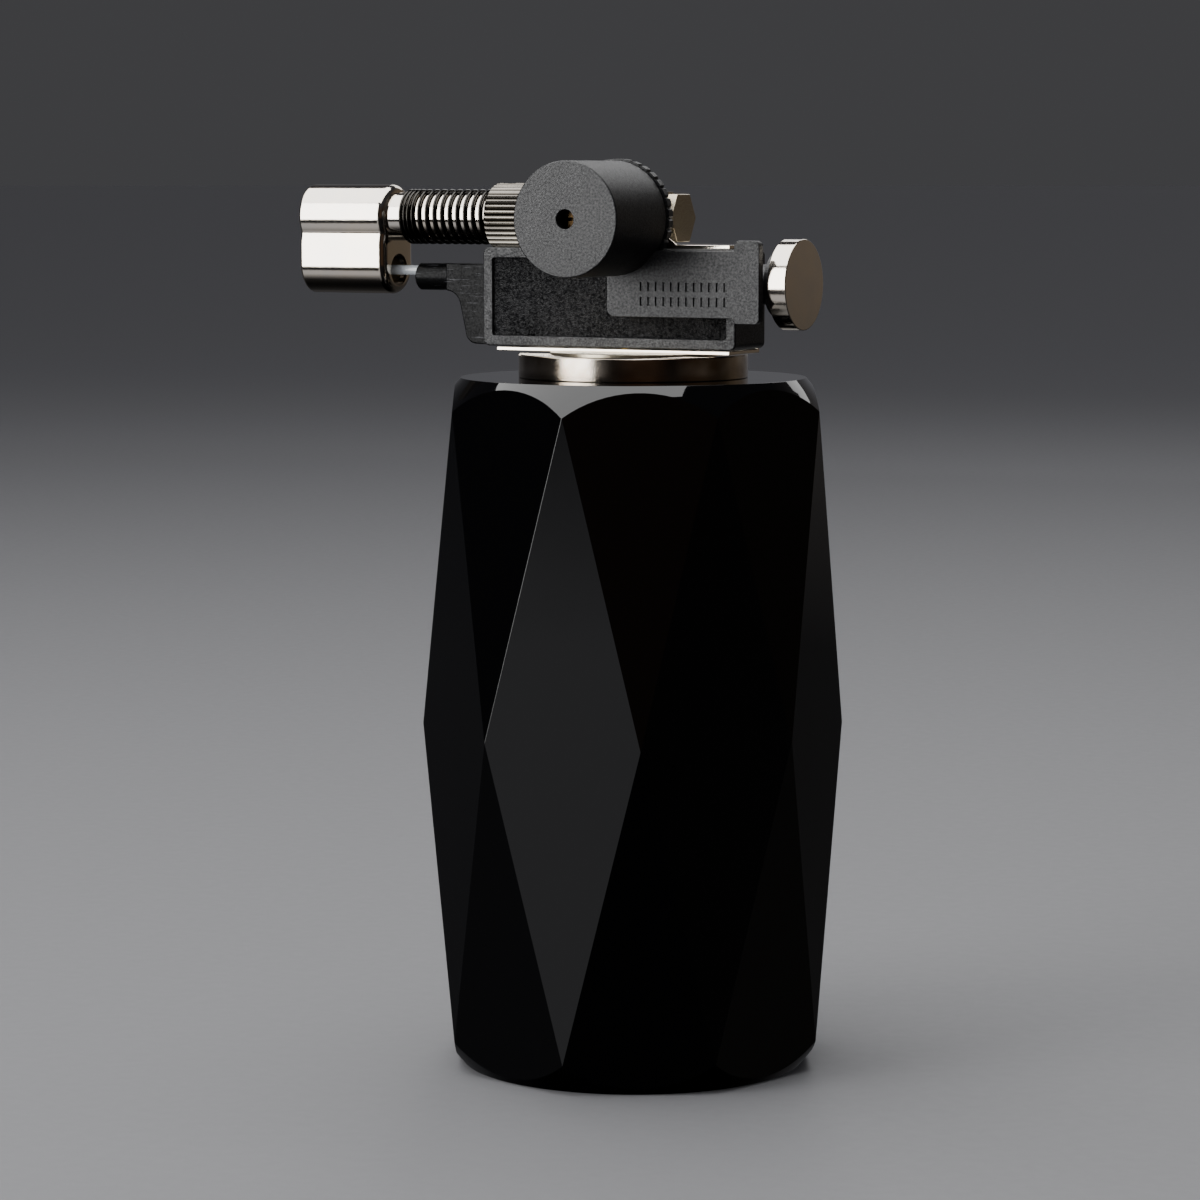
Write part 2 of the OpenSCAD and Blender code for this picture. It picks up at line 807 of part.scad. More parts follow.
module valve_block() {
    color([0.8, 0.76, 0.68])
    difference() {
        union() {
            box(block_x0, block_x1, -block_y, block_y, flange_top_z, burner_z + block_y);
            bar_x(block_x0 - 0.5, block_x0, 4.2, 0, burner_z);
        }
        bar_x(block_x0 - 1, block_x0 + 2, 1.53, 0, burner_z);
        bar_x(block_x0, spindle_x, 0.6, 0, burner_z);
        bar_x(2.6, block_x1 + 1, plug_thread_r + 0.03, 0, burner_z);
        bar_y(-block_y - 1, 2.8, spindle_r + 0.06, spindle_x, burner_z);
        bar_y(-block_y - 1, -2.1, 2.5, spindle_x, burner_z);
        bar_z(flange_top_z - 1, riser_top_z + 0.2, riser_r + 0.03, riser_x, riser_y);
        bar_y(0, riser_y, passage_r, riser_x, riser_top_z + 0.2);
        for (x = block_screw_xs)
            bar_z(flange_top_z - 1, flange_top_z + screw_len - frame_t + 0.2, screw_shank_r + 0.03, x);
    }
}

module hex_plug() {
    color([0.78, 0.74, 0.64]) {
        translate([block_x1 + 0.03, 0, burner_z])
            rotate([0, 90, 0])
                rotate([0, 0, 90])
                    hex_bar(6.84, 8.13 - block_x1 - 0.03);
        bar_x(2.7, block_x1 + 0.1, plug_thread_r, 0, burner_z);
    }
}

module packing_nut() {
    color([0.78, 0.74, 0.64])
    difference() {
        union() {
            translate([spindle_x, -block_y - 0.03, burner_z])
                rotate([90, 0, 0])
                    hex_bar(6.2, 1.35);
            bar_y(-block_y - 0.1, -2.9, 2.45, spindle_x, burner_z);
        }
        bar_y(-7, 0, spindle_r + 0.06, spindle_x, burner_z);
    }
}

module spindle_seal() {
    color([0.06, 0.06, 0.06])
    difference() {
        bar_y(-2.85, -2.15, 2.45, spindle_x, burner_z);
        bar_y(-4, -1, spindle_r + 0.05, spindle_x, burner_z);
    }
}

// ---------- controls ----------

module gas_spindle() {
    color([0.78, 0.6, 0.28])
    difference() {
        bar_y(knob_y0 - 0.4, 2.5, spindle_r, spindle_x, burner_z);
        box(spindle_x - 2, spindle_x + 2, knob_y0 - 1, knob_y0 + 0.3, burner_z - 0.25, burner_z + 0.25);
    }
}

module rotate_about_spindle(angle) {
    translate([spindle_x, 0, burner_z])
        rotate([0, angle, 0])
            children();
}

module gas_knob() {
    color([0.05, 0.05, 0.05])
    difference() {
        union() {
            bar_y(knob_y0, knob_rim_y0, knob_barrel_r, spindle_x, burner_z);
            bar_y(knob_rim_y0, knob_rim_y1, knob_rim_r, spindle_x, burner_z);
        }
        bar_y(knob_y0 - 1, 0, spindle_r + 0.02, spindle_x, burner_z);
        for (k = [0 : knob_teeth - 1])
            rotate_about_spindle(k * 360 / knob_teeth)
                translate([knob_rim_r, knob_rim_y0 - 1, 0])
                    rotate([0, 45, 0])
                        translate([-tooth_side / 2, 0, -tooth_side / 2])
                            cube([tooth_side, 3, tooth_side]);
        for (k = [0 : knob_flutes - 1])
            rotate_about_spindle(k * 360 / knob_flutes)
                bar_y(knob_y0 - 1, knob_rim_y0 - 0.8, 0.5, knob_barrel_r + 0.15, 0);
    }
}

module stopper() {
    color([0.06, 0.06, 0.06])
    difference() {
        union() {
            bar_y(cap_y0, cap_y1, cap_r, spindle_x, burner_z);
            round_box(stopper_x0, crossbar_x0 + 1, stopper_y0, stopper_y1, plate_z0, plate_z1, plate_corner_r);
            box(stopper_x0, crossbar_x0 + 0.5, stopper_y0, stopper_y1, plate_z1 - 2, plate_z1);
            round_box(crossbar_x0, crossbar_x1, stopper_y0, crossbar_back_y, crossbar_z0, crossbar_z1,
                crossbar_corner_r);
        }
        bar_y(cap_y0 + cap_face_t, stopper_y1 + 1, cap_r - cap_wall, spindle_x, burner_z);
        bar_y(cap_y1, stopper_y1 + 1, knob_rim_r + 0.35, spindle_x, burner_z);
        bar_y(cap_y0 - 1, cap_y0 + cap_face_t + 1, pinhole_r, spindle_x, burner_z);
        box(crossbar_x0 + 0.2, crossbar_x0 + 2, crossbar_back_y, stopper_y1 + 1, plate_z0 - 1, plate_z1 + 1);
        for (row = [0 : 1], k = [0 : dashes - 1])
            translate([dash_x0 + k * dash_pitch, stopper_y0 - 1, dash_z0 + row * row_pitch])
                cube([dash_w, dash_depth + 1, dash_h]);
    }
}

// ---------- assembly ----------

glass_body();
fuel_tank();
tank_lid();
grip_rings();
neck_collar();
pickup_tube();
fill_valve_body();
fill_valve_stem();
fill_valve_gasket();
fill_valve_spring();
outlet_valve_body();
outlet_valve_stem();
outlet_valve_seal();
outlet_valve_spring();
gas_riser();
frame_bracket();
frame_screws();
housing_front();
housing_rear();
housing_screws();
piezo_case();
piezo_contact();
piezo_plunger();
piezo_spring();
button_stem();
button_cap();
gas_lever();
lever_pin();
lead_conduit();
ignition_lead();
spark_electrode();
electrode_sleeve();
nozzle_head();
flame_plate();
burner_tube();
wire_coil();
air_ring();
gas_jet();
valve_block();
hex_plug();
packing_nut();
spindle_seal();
gas_spindle();
gas_knob();
stopper();
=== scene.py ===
"""Looks of a table-top butane torch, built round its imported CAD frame."""

from __future__ import annotations

import logging
import math
from dataclasses import dataclass, field
from enum import Enum

import bmesh
import bpy
from mathutils import Matrix, Vector


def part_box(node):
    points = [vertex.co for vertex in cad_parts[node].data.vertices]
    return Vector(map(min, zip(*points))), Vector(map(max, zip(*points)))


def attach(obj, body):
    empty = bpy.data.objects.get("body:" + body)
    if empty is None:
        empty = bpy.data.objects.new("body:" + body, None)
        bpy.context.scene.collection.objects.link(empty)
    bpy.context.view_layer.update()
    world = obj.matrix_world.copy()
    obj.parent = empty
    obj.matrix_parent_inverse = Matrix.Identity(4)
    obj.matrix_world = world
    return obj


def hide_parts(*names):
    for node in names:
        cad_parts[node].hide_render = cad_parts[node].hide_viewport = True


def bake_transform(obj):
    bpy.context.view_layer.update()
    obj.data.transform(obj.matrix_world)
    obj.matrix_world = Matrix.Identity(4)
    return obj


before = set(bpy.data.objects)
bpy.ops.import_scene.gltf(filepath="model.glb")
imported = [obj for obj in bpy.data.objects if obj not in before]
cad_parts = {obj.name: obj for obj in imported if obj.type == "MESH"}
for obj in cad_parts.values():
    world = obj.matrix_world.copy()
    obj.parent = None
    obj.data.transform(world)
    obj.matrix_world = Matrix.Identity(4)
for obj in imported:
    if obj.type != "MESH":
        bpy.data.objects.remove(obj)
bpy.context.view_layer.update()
LOG = logging.getLogger("torch")
MM = 0.001

Tree = bpy.types.NodeTree
Node = bpy.types.Node
Socket = bpy.types.NodeSocket
Edge = bmesh.types.BMEdge


# ---------------------------------------------------------------- finishes


def linear(hex_colour: str) -> tuple[float, float, float, float]:
    """Turn an sRGB hex colour into linear RGBA.

    Args:
        hex_colour: Six hex digits, such as "d8cbbb".

    Returns:
        Linear red, green, blue and an alpha of 1.
    """
    parts = [int(hex_colour[i : i + 2], 16) / 255 for i in (0, 2, 4)]
    low = [c / 12.92 if c <= 0.04045 else ((c + 0.055) / 1.055) ** 2.4 for c in parts]
    return (low[0], low[1], low[2], 1.0)


def add_node(tree: Tree, kind: str, feeds: dict, **settings: object) -> Node:
    """Add one node to a tree.

    Args:
        tree: The node tree.
        kind: The node's type name.
        feeds: Input name or number to a value, or to the socket that feeds it.
        **settings: Properties to set on the node first.

    Returns:
        The new node.
    """
    node = tree.nodes.new(kind)
    for key, value in settings.items():
        setattr(node, key, value)
    for key, value in feeds.items():
        if isinstance(value, Socket):
            tree.links.new(value, node.inputs[key])
        else:
            node.inputs[key].default_value = value
    return node


def noise(tree: Tree, here: Socket, scale: float, detail: float) -> Socket:
    """A cloudy pattern, about 0.3 to 0.7, whose features repeat every 1/scale metres or so."""
    feeds = {"Vector": here, "Scale": scale, "Detail": detail}
    return add_node(tree, "ShaderNodeTexNoise", feeds).outputs["Fac"]


def ramp(tree: Tree, source: Socket, stops: list[tuple[float, str]]) -> Socket:
    """Lay colours along a pattern.

    Args:
        tree: The node tree.
        source: The pattern, from 0 to 1.
        stops: Place and hex colour of each stop, in order.

    Returns:
        The colour.
    """
    node = add_node(tree, "ShaderNodeValToRGB", {"Fac": source})
    elements = node.color_ramp.elements
    while len(elements) < len(stops):
        elements.new(0.5)
    for element, (place, colour) in zip(elements, stops):
        element.position = place
        element.color = linear(colour)
    return node.outputs["Color"]


def band(tree: Tree, value: Socket, low: float, high: float, top: float = 1.0) -> Socket:
    """Run from 0 to top as a value goes from low to high."""
    feeds = {"Value": value, "From Min": low, "From Max": high, "To Max": top}
    return add_node(tree, "ShaderNodeMapRange", feeds).outputs["Result"]


def mix(tree: Tree, factor: object, first: object, second: object, blend: str = "MIX") -> Socket:
    """Mix two colours, given as sockets or as linear values."""
    feeds = {"Factor": factor, "A": first, "B": second}
    node = add_node(tree, "ShaderNodeMix", feeds, data_type="RGBA", blend_type=blend)
    return node.outputs["Result"]


@dataclass(frozen=True)
class Finish:
    """A surface finish: one Principled shader whose pattern each subclass adds."""

    name: str
    colour: str
    slot: str
    roughness: float = 0.4
    metallic: float = 0.0
    ior: float = 1.5
    coat: float = 0.0
    shine: float = 0.5

    def material(self) -> bpy.types.Material:
        """Return the Blender material, built the first time it is asked for."""
        found = bpy.data.materials.get(self.name)
        if found is not None:
            return found
        made = bpy.data.materials.new(self.name)
        made.use_nodes = True
        tree = made.node_tree
        shader = tree.nodes["Principled BSDF"]
        shader.inputs["Base Color"].default_value = linear(self.colour)
        shader.inputs["Roughness"].default_value = self.roughness
        shader.inputs["Metallic"].default_value = self.metallic
        shader.inputs["IOR"].default_value = self.ior
        shader.inputs["Coat Weight"].default_value = self.coat
        shader.inputs["Specular IOR Level"].default_value = self.shine
        here = add_node(tree, "ShaderNodeTexCoord", {}).outputs["Object"]
        self.pattern(tree, shader, here)
        return made

    def pattern(self, tree: Tree, shader: Node, here: Socket) -> None:
        """Add the finish's own pattern; the plain finish has a faint unevenness of gloss.

        Args:
            tree: The material's node tree.
            shader: Its Principled shader.
            here: The object coordinates, in metres.
        """
        cloud = noise(tree, here, 400.0, 3.0)
        self.spread(tree, shader, "Roughness", cloud, self.roughness * 0.93, self.roughness * 1.08)

    @staticmethod
    def spread(tree: Tree, shader: Node, name: str, source: Socket, low: float, high: float) -> None:
        """Drive a shader number from a pattern.

        Args:
            tree: The material's node tree.
            shader: The shader.
            name: The input to drive.
            source: The pattern, about 0.3 to 0.7.
            low: The input's value where the pattern is 0.3.
            high: The input's value where the pattern is 0.7.
        """
        feeds = {"Value": source, "From Min": 0.3, "From Max": 0.7, "To Min": low, "To Max": high}
        remap = add_node(tree, "ShaderNodeMapRange", feeds)
        tree.links.new(remap.outputs["Result"], shader.inputs[name])

    @staticmethod
    def relief(tree: Tree, shader: Node, layers: list[tuple[Socket, float, float]]) -> None:
        """Stack bump layers on a shader's normal.

        Args:
            tree: The material's node tree.
            shader: The shader.
            layers: Height pattern, strength and depth in metres, coarsest first.
        """
        normal = None
        for height, strength, depth in layers:
            feeds = {"Height": height, "Strength": strength, "Distance": depth}
            if normal is not None:
                feeds["Normal"] = normal
            normal = add_node(tree, "ShaderNodeBump", feeds).outputs["Normal"]
        tree.links.new(normal, shader.inputs["Normal"])


@dataclass(frozen=True)
class PolishedBlackGlass(Finish):
    """Opaque black crystal, cut and fire-polished: a near-black body under a hard, wet gloss."""

    def pattern(self, tree: Tree, shader: Node, here: Socket) -> None:
        """Polishing leaves a slow ripple about 9 mm long, and hands leave a faint haze."""
        self.spread(tree, shader, "Roughness", noise(tree, here, 60.0, 6.0), 0.012, 0.05)
        self.relief(tree, shader, [(noise(tree, here, 110.0, 1.0), 0.12, 0.00006)])


@dataclass(frozen=True)
class PlatedNickel(Finish):
    """Bright nickel plate over a die casting or turned brass: warm mirror with fine pits and orange peel."""

    metallic: float = 1.0
    pits: float = 0.35
    patch: str = "efe3d2"

    def pattern(self, tree: Tree, shader: Node, here: Socket) -> None:
        """Pits about 0.12 mm across, a slow waviness of 2 mm, and colour that warms in patches."""
        peel = noise(tree, here, 500.0, 2.0)
        grit = noise(tree, here, 8000.0, 2.0)
        tint = ramp(tree, noise(tree, here, 180.0, 2.0), [(0.35, self.colour), (0.7, self.patch)])
        tree.links.new(tint, shader.inputs["Base Color"])
        self.spread(tree, shader, "Roughness", grit, self.roughness * 0.7, self.roughness * 1.5)
        self.relief(tree, shader, [(peel, 0.2, 0.00003), (grit, self.pits, 0.000012)])


@dataclass(frozen=True)
class KnurledNickel(PlatedNickel):
    """Nickel plate over a knurl: the plate's colour on the crests, and painted shade that blackens the
    grooves by their depth below the crests.
    """

    axis_z_mm: float = 0.0
    crest_mm: float = 0.0
    groove_mm: float = 0.28
    unshaded_crest_mm: float = 0.02

    def pattern(self, tree: Tree, shader: Node, here: Socket) -> None:
        """The plate's own pattern, with painted shade that darkens it by depth below the crests."""
        super().pattern(tree, shader, here)
        spot = here
        for kind, value in (("SUBTRACT", (0.0, 0.0, self.axis_z_mm * MM)), ("MULTIPLY", (0.0, 1.0, 1.0))):
            spot = add_node(tree, "ShaderNodeVectorMath", {0: spot, 1: value}, operation=kind).outputs[0]
        reach = add_node(tree, "ShaderNodeVectorMath", {0: spot}, operation="LENGTH").outputs["Value"]
        # Painted shade: near black deep in the grooves, fading to the plate's own colour just below the
        # crests.
        low, high = self.crest_mm - self.groove_mm, self.crest_mm - self.unshaded_crest_mm
        unshaded = band(tree, reach, low * MM, high * MM)
        plate = shader.inputs["Base Color"].links[0].from_socket
        tree.links.new(mix(tree, unshaded, linear("14120f"), plate), shader.inputs["Base Color"])


@dataclass(frozen=True)
class GrainedPlastic(Finish):
    """Black ABS moulded in a spark-eroded tool: a pebbly grain that scatters the light in specks."""

    grain_mm: float = 0.3
    depth_mm: float = 0.03
    evenness: float = 0.0

    def pattern(self, tree: Tree, shader: Node, here: Socket) -> None:
        """Pebbles whose rounded tips catch the light, over a faint cloudiness left by the melt's flow."""
        pebble = noise(tree, here, 1000 / self.grain_mm, 2.0)
        dust = noise(tree, here, 3000 / self.grain_mm, 3.0)
        tips = noise(tree, here, 560 / self.grain_mm, 1.0)
        tint = ramp(tree, noise(tree, here, 160.0, 5.0), [(0.3, self.colour), (0.75, "2a2a2c")])
        tree.links.new(tint, shader.inputs["Base Color"])
        self.spread(tree, shader, "Roughness", dust, self.roughness * 0.8, self.roughness * 1.3)
        deep = self.depth_mm * MM
        self.relief(tree, shader, [(pebble, 1.0, deep), (dust, 0.35, deep * 0.4)])
        dull, bright = self.shine * self.evenness, self.shine * 2.1
        self.spread(tree, shader, "Specular IOR Level", tips, dull, bright)


@dataclass(frozen=True)
class MatteMoulding(Finish):
    """Black polypropylene with a fine matt skin that speckles the light; soft enough to take pale scuffs."""

    scuffs: float = 0.5
    depth_mm: float = 0.04

    def pattern(self, tree: Tree, shader: Node, here: Socket) -> None:
        """Skin grain of 0.15 mm, cloudy gloss 3 mm across, and thin pale scuffs along the part."""
        skin = noise(tree, here, 6500.0, 2.0)
        cloud = noise(tree, here, 350.0, 4.0)
        feeds = {"Vector": here, "Rotation": (0.0, -0.7, 0.3), "Scale": (0.35, 1.0, 4.0)}
        streak = add_node(tree, "ShaderNodeMapping", feeds).outputs["Vector"]
        marks = band(tree, noise(tree, streak, 900.0, 6.0), 0.6, 0.74, self.scuffs)
        tint = mix(tree, marks, linear(self.colour), linear("6a6a6e"))
        tree.links.new(tint, shader.inputs["Base Color"])
        self.spread(tree, shader, "Roughness", cloud, self.roughness * 0.96, self.roughness * 1.04)
        self.relief(tree, shader, [(skin, 1.0, self.depth_mm * MM)])
        specks = noise(tree, here, 3200.0, 1.0)
        self.spread(tree, shader, "Specular IOR Level", specks, self.shine * 0.6, self.shine * 1.4)


@dataclass(frozen=True)
class TurnedBrass(Finish):
    """Free-cutting brass straight off the lathe: yellow, with fine feed rings."""

    metallic: float = 1.0
    stain: str = "9c7a3c"

    def pattern(self, tree: Tree, shader: Node, here: Socket) -> None:
        """Tool marks 0.1 mm apart and slightly browned patches."""
        tint = ramp(tree, noise(tree, here, 700.0, 4.0), [(0.3, self.stain), (0.7, self.colour)])
        tree.links.new(tint, shader.inputs["Base Color"])
        self.relief(tree, shader, [(noise(tree, here, 10000.0, 1.0), 0.25, 0.00001)])


def metal(name: str, colour: str, slot: str, roughness: float) -> Finish:
    """A plain metal finish."""
    return Finish(name, colour, slot, roughness=roughness, metallic=1.0)


def knurled() -> KnurledNickel:
    """The air ring's finish, set to the ring's own axis and crest radius."""
    low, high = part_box("air_ring")
    return KnurledNickel(
        "knurled_nickel",
        "6f6b65",
        "nickel",
        roughness=0.2,
        patch="7f7a71",
        axis_z_mm=(low.z + high.z) / 2 / MM,
        crest_mm=high.y / MM,
    )


# Black crystal, cut and polished: black facets that mirror the room sharply, with pale cut edges.
GLASS = PolishedBlackGlass("polished_black_glass", "050506", "black_glass", roughness=0.03, ior=1.52)
# Bright nickel plate, buffed: a warm mirror, white where it faces the lamps.
NICKEL = PlatedNickel("bright_nickel", "e4ddd3", "nickel", roughness=0.08)
# Nickel plate over an unbuffed casting: olive grey and soft, with no sharp reflection.
SATIN_NICKEL = PlatedNickel("satin_nickel", "b9b09c", "nickel", roughness=0.27, pits=0.6, patch="c4b9a2")
# Knurled nickel, its plate painted darker than the head's to stand in for the knurl's shade, with painted
# shade in the grooves: bright crests with black lines between them.
KNURLED = knurled()
# Nickel plate that has been handled and gone brown in patches: a mottled, pitted mirror.
PITTED_NICKEL = PlatedNickel("pitted_nickel", "d3c9bb", "nickel", roughness=0.11, pits=0.9, patch="927f68")
# ABS from a coarse eroded tool: dark, with a glitter of fine specks.
PANEL_GRAIN = GrainedPlastic(
    "grained_abs",
    "0a0a0b",
    "black_plastic",
    roughness=0.26,
    shine=0.2,
    grain_mm=0.22,
    depth_mm=0.3,
)
# ABS from a finely eroded tool: greyer and more even than the panel.
BORDER_GRAIN = GrainedPlastic(
    "fine_grained_abs",
    "121213",
    "black_plastic",
    roughness=0.36,
    shine=0.34,
    grain_mm=0.14,
    depth_mm=0.05,
    evenness=0.5,
)
# Polypropylene with a matt skin: mid grey towards the lamps, black on its far side.
MATTE_BLACK = MatteMoulding("matte_polypropylene", "1b1b1d", "black_plastic", roughness=0.42, scuffs=0.06)
# Glossier black moulding, rubbed by handling: dark, with thin pale scratches.
SCUFFED_BLACK = MatteMoulding(
    "scuffed_elbow_moulding",
    "0c0c0d",
    "black_plastic",
    roughness=0.3,
    shine=0.08,
    scuffs=0.9,
    depth_mm=0.006,
)
# Brass as turned: yellow, with a soft sheen.
BRASS = TurnedBrass("turned_brass", "b3924f", "brass", roughness=0.3)
# Brass browned by heat, and painted darker as shade for the spindle's end deep in the cap's pinhole: dark and
# dull.
BROWNED_AND_SHADED_BRASS = TurnedBrass("heat_browned_and_shaded_brass", "5e4c33", "brass", roughness=0.4, stain="40301d")
# Blackened wire: dark, with a bright line along each turn.
DARK_WIRE = metal("blackened_spring_wire", "3b3936", "dark_wire", 0.2)
# Drawn spring wire, bare: neutral grey and fairly bright.
SPRING_STEEL = metal("spring_steel_wire", "a3a3a1", "spring_steel", 0.25)
# Zinc plate on pressed or turned steel: bluish grey, softly bright.
ZINC = metal("zinc_plated_steel", "b9bbbd", "screw_steel", 0.3)
# Deep-drawn aluminium: pale grey with a soft sheen.
ALUMINIUM = metal("drawn_aluminium", "c2c4c6", "tank_metal", 0.32)
# Drawn copper tube: orange-brown with a soft sheen.
COPPER = metal("drawn_copper_tube", "c98d68", "copper", 0.3)
# Moulded nitrile rubber: black and dull.
NITRILE = Finish("nitrile_rubber", "17171a", "rubber", roughness=0.6)
# Natural acetal, moulded: cream and waxy.
CREAM_PLASTIC = Finish("natural_acetal", "dcd6c6", "cream_plastic", roughness=0.35)
# Extruded silicone insulation: milky bluish white with a wet highlight.
SILICONE = Finish("milky_silicone", "e4eaee", "lead_plastic", roughness=0.22, coat=0.4)
# Glazed white ceramic: off-white under a clear gloss.
CERAMIC = Finish("glazed_ceramic", "e9e4d8", "ceramic", roughness=0.15, coat=0.6)
# Painted floor: pale grey and matt.
FLOOR_PAINT = Finish("pale_floor", "9a9a9d", "", roughness=0.6)


# ---------------------------------------------------------------- mesh work


class Side(Enum):
    """The plane an outline is traced in, as the two axes it runs along and the one across it."""

    FRONT = (0, 2, 1)
    END = (1, 2, 0)

    def point(self, pair: tuple[float, float], across: float) -> Vector:
        """Place a traced point in space, in metres, from millimetres."""
        spot = Vector((0.0, 0.0, 0.0))
        spot[self.value[0]], spot[self.value[1]], spot[self.value[2]] = pair[0], pair[1], across
        return spot * MM

    def normal(self) -> Vector:
        """The direction about which a positive turn goes from the first axis to the second."""
        return Vector((0, -1, 0)) if self is Side.FRONT else Vector((1, 0, 0))


@dataclass(frozen=True)
class Line:
    """A straight run of an outline, to a point in millimetres."""

    to: tuple[float, float]


@dataclass(frozen=True)
class Arc:
    """A round run of an outline about a centre in millimetres."""

    centre: tuple[float, float]
    degrees: float
    steps: int = 8


@dataclass
class Workpiece:
    """One mesh being made, in metres, in the frame's own axes."""

    name: str
    bm: bmesh.types.BMesh = field(default_factory=bmesh.new)

    def trace(
        self, side: Side, across: float, start: tuple[float, float], runs: list[Line | Arc]
    ) -> list:
        """Trace a closed outline.

        Args:
            side: The plane to draw in.
            across: The plane's distance along its third axis, in millimetres.
            start: The first point, in millimetres.
            runs: Lines and arcs that end where they start.

        Returns:
            The outline's edges.
        """
        before = set(self.bm.edges)
        tip = self.bm.verts.new(side.point(start, across))
        for run in runs:
            if isinstance(run, Line):
                made = bmesh.ops.extrude_vert_indiv(self.bm, verts=[tip])
                tip = made["verts"][0]
                tip.co = side.point(run.to, across)
            else:
                made = bmesh.ops.spin(
                    self.bm,
                    geom=[tip],
                    cent=side.point(run.centre, across),
                    axis=side.normal(),
                    angle=math.radians(run.degrees),
                    steps=run.steps,
                )
                tip = next(g for g in made["geom_last"] if isinstance(g, bmesh.types.BMVert))
        fresh = [e for e in self.bm.edges if e not in before]
        spots = list({v for e in fresh for v in e.verts})
        bmesh.ops.remove_doubles(self.bm, verts=spots, dist=1e-6)
        return [e for e in self.bm.edges if e not in before and e.is_valid]

    def ring(
        self, side: Side, across: float, centre: tuple[float, float], radius: float, steps: int = 48
    ) -> list:
        """Trace a full circle and return its edges."""
        start = (centre[0] + radius, centre[1])
        return self.trace(side, across, start, [Arc(centre, 360, steps)])

    def prism(self, edges: list, push: Vector) -> None:
        """Fill an outline and push it through space by a vector in millimetres."""
        face = bmesh.ops.edgeloop_fill(self.bm, edges=edges)["faces"]
        made = bmesh.ops.extrude_face_region(self.bm, geom=face + edges)
        moved = [g for g in made["geom"] if isinstance(g, bmesh.types.BMVert)]
        bmesh.ops.translate(self.bm, verts=moved, vec=push * MM)

    def sleeve(self, edges: list, push: Vector) -> list:
        """Pull an open wall from an outline and return the far outline's edges."""
        made = bmesh.ops.extrude_edge_only(self.bm, edges=edges)
        moved = [g for g in made["geom"] if isinstance(g, bmesh.types.BMVert)]
        bmesh.ops.translate(self.bm, verts=moved, vec=push * MM)
        return [g for g in made["geom"] if isinstance(g, bmesh.types.BMEdge)]

    def fill(self, edges: list) -> None:
        """Fill the flat area between outlines, leaving the inner ones as holes."""
        bmesh.ops.triangle_fill(self.bm, edges=edges, use_beauty=True, use_dissolve=False)

    def open_face(self, towards: Vector) -> list:
        """Remove the flat face that looks furthest along a direction and return its edges."""
        faces = [f for f in self.bm.faces if f.normal.dot(towards) > 0.999]
        face = max(faces, key=lambda f: (f.calc_center_median().dot(towards), f.calc_area()))
        edges = list(face.edges)
        bmesh.ops.delete(self.bm, geom=[face], context="FACES_ONLY")
        return edges

    def lathe(
        self, profile: list[tuple[float, float]], origin: Vector, axis: Vector, steps: int = 96
    ) -> None:
        """Turn a closed profile about an axis.

        Args:
            profile: Distance along the axis and radius, in millimetres.
            origin: Where the axis starts, in millimetres.
            axis: The axis, one unit long.
            steps: Faces round the turn.
        """
        out = axis.orthogonal().normalized()
        points = [self.bm.verts.new((origin + axis * a + out * r) * MM) for a, r in profile]
        edges = [self.bm.edges.new(pair) for pair in zip(points, points[1:] + points[:1])]
        edges = [e for e in edges if not all(self._on_axis(v, origin, axis) for v in e.verts)]
        stray = [e for e in self.bm.edges if not e.link_faces and e not in edges]
        stray = [e for e in stray if set(e.verts) <= set(points)]
        bmesh.ops.delete(self.bm, geom=stray, context="EDGES")
        bmesh.ops.spin(
            self.bm,
            geom=points + edges,
            cent=origin * MM,
            axis=axis,
            angle=math.tau,
            steps=steps,
            use_merge=True,
        )
        bmesh.ops.remove_doubles(self.bm, verts=self.bm.verts, dist=1e-6)

    @staticmethod
    def _on_axis(vert: bmesh.types.BMVert, origin: Vector, axis: Vector) -> bool:
        """Whether a vertex lies on the axis."""
        return (vert.co - origin * MM).cross(axis).length < 1e-7

    def block(self, low: Vector, high: Vector, corner: float = 0.0, along: int = 1) -> None:
        """Add a block with its corners rounded as seen along one axis.

        Args:
            low: Lowest corner, in millimetres.
            high: Highest corner, in millimetres.
            corner: Corner radius, in millimetres.
            along: The axis the rounded edges run along.
        """
        made = bmesh.ops.create_cube(self.bm, size=1.0)["verts"]
        bmesh.ops.scale(self.bm, verts=made, vec=(high - low) * MM)
        bmesh.ops.translate(self.bm, verts=made, vec=(high + low) * MM / 2)
        if corner > 0:
            edges = {e for v in made for e in v.link_edges}
            run = [e for e in edges if abs((e.verts[0].co - e.verts[1].co).normalized()[along]) > 0.99]
            self.round_off(run, corner, 6)

    def copy_node(self, node: str, flat: float = 0.3) -> None:
        """Start from a CAD node's mesh, with its loose triangles merged and flat areas joined.

        Args:
            node: The CAD node.
            flat: Largest angle, in degrees, between triangles of one flat area.
        """
        self.bm.from_mesh(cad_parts[node].data)
        bmesh.ops.remove_doubles(self.bm, verts=self.bm.verts, dist=2e-6)
        bmesh.ops.dissolve_limit(
            self.bm,
            angle_limit=math.radians(flat),
            verts=self.bm.verts,
            edges=self.bm.edges,
            delimit={"NORMAL"},
        )

    def round_off(self, edges: list, radius: float, segments: int = 2, clamp: bool = True) -> None:
        """Round edges to a radius in millimetres, held back where edges are short unless clamp is off."""
        bmesh.ops.bevel(
            self.bm,
            geom=edges,
            offset=radius * MM,
            offset_type="OFFSET",
            segments=segments,
            profile=0.5,
            affect="EDGES",
            clamp_overlap=clamp,
            material=-1,
        )

    def sharp_edges(self, degrees: float = 30.0, where: object = None) -> list:
        """Edges that turn by more than an angle, all of them or those a test accepts."""
        limit = math.radians(degrees)
        found = [e for e in self.bm.edges if len(e.link_faces) == 2 and e.calc_face_angle(0) > limit]
        return [e for e in found if where is None or where(e)]

    def outward(self) -> None:
        """Merge doubled points and turn all faces outwards."""
        bmesh.ops.remove_doubles(self.bm, verts=self.bm.verts, dist=1e-7)
        bmesh.ops.recalc_face_normals(self.bm, faces=self.bm.faces)

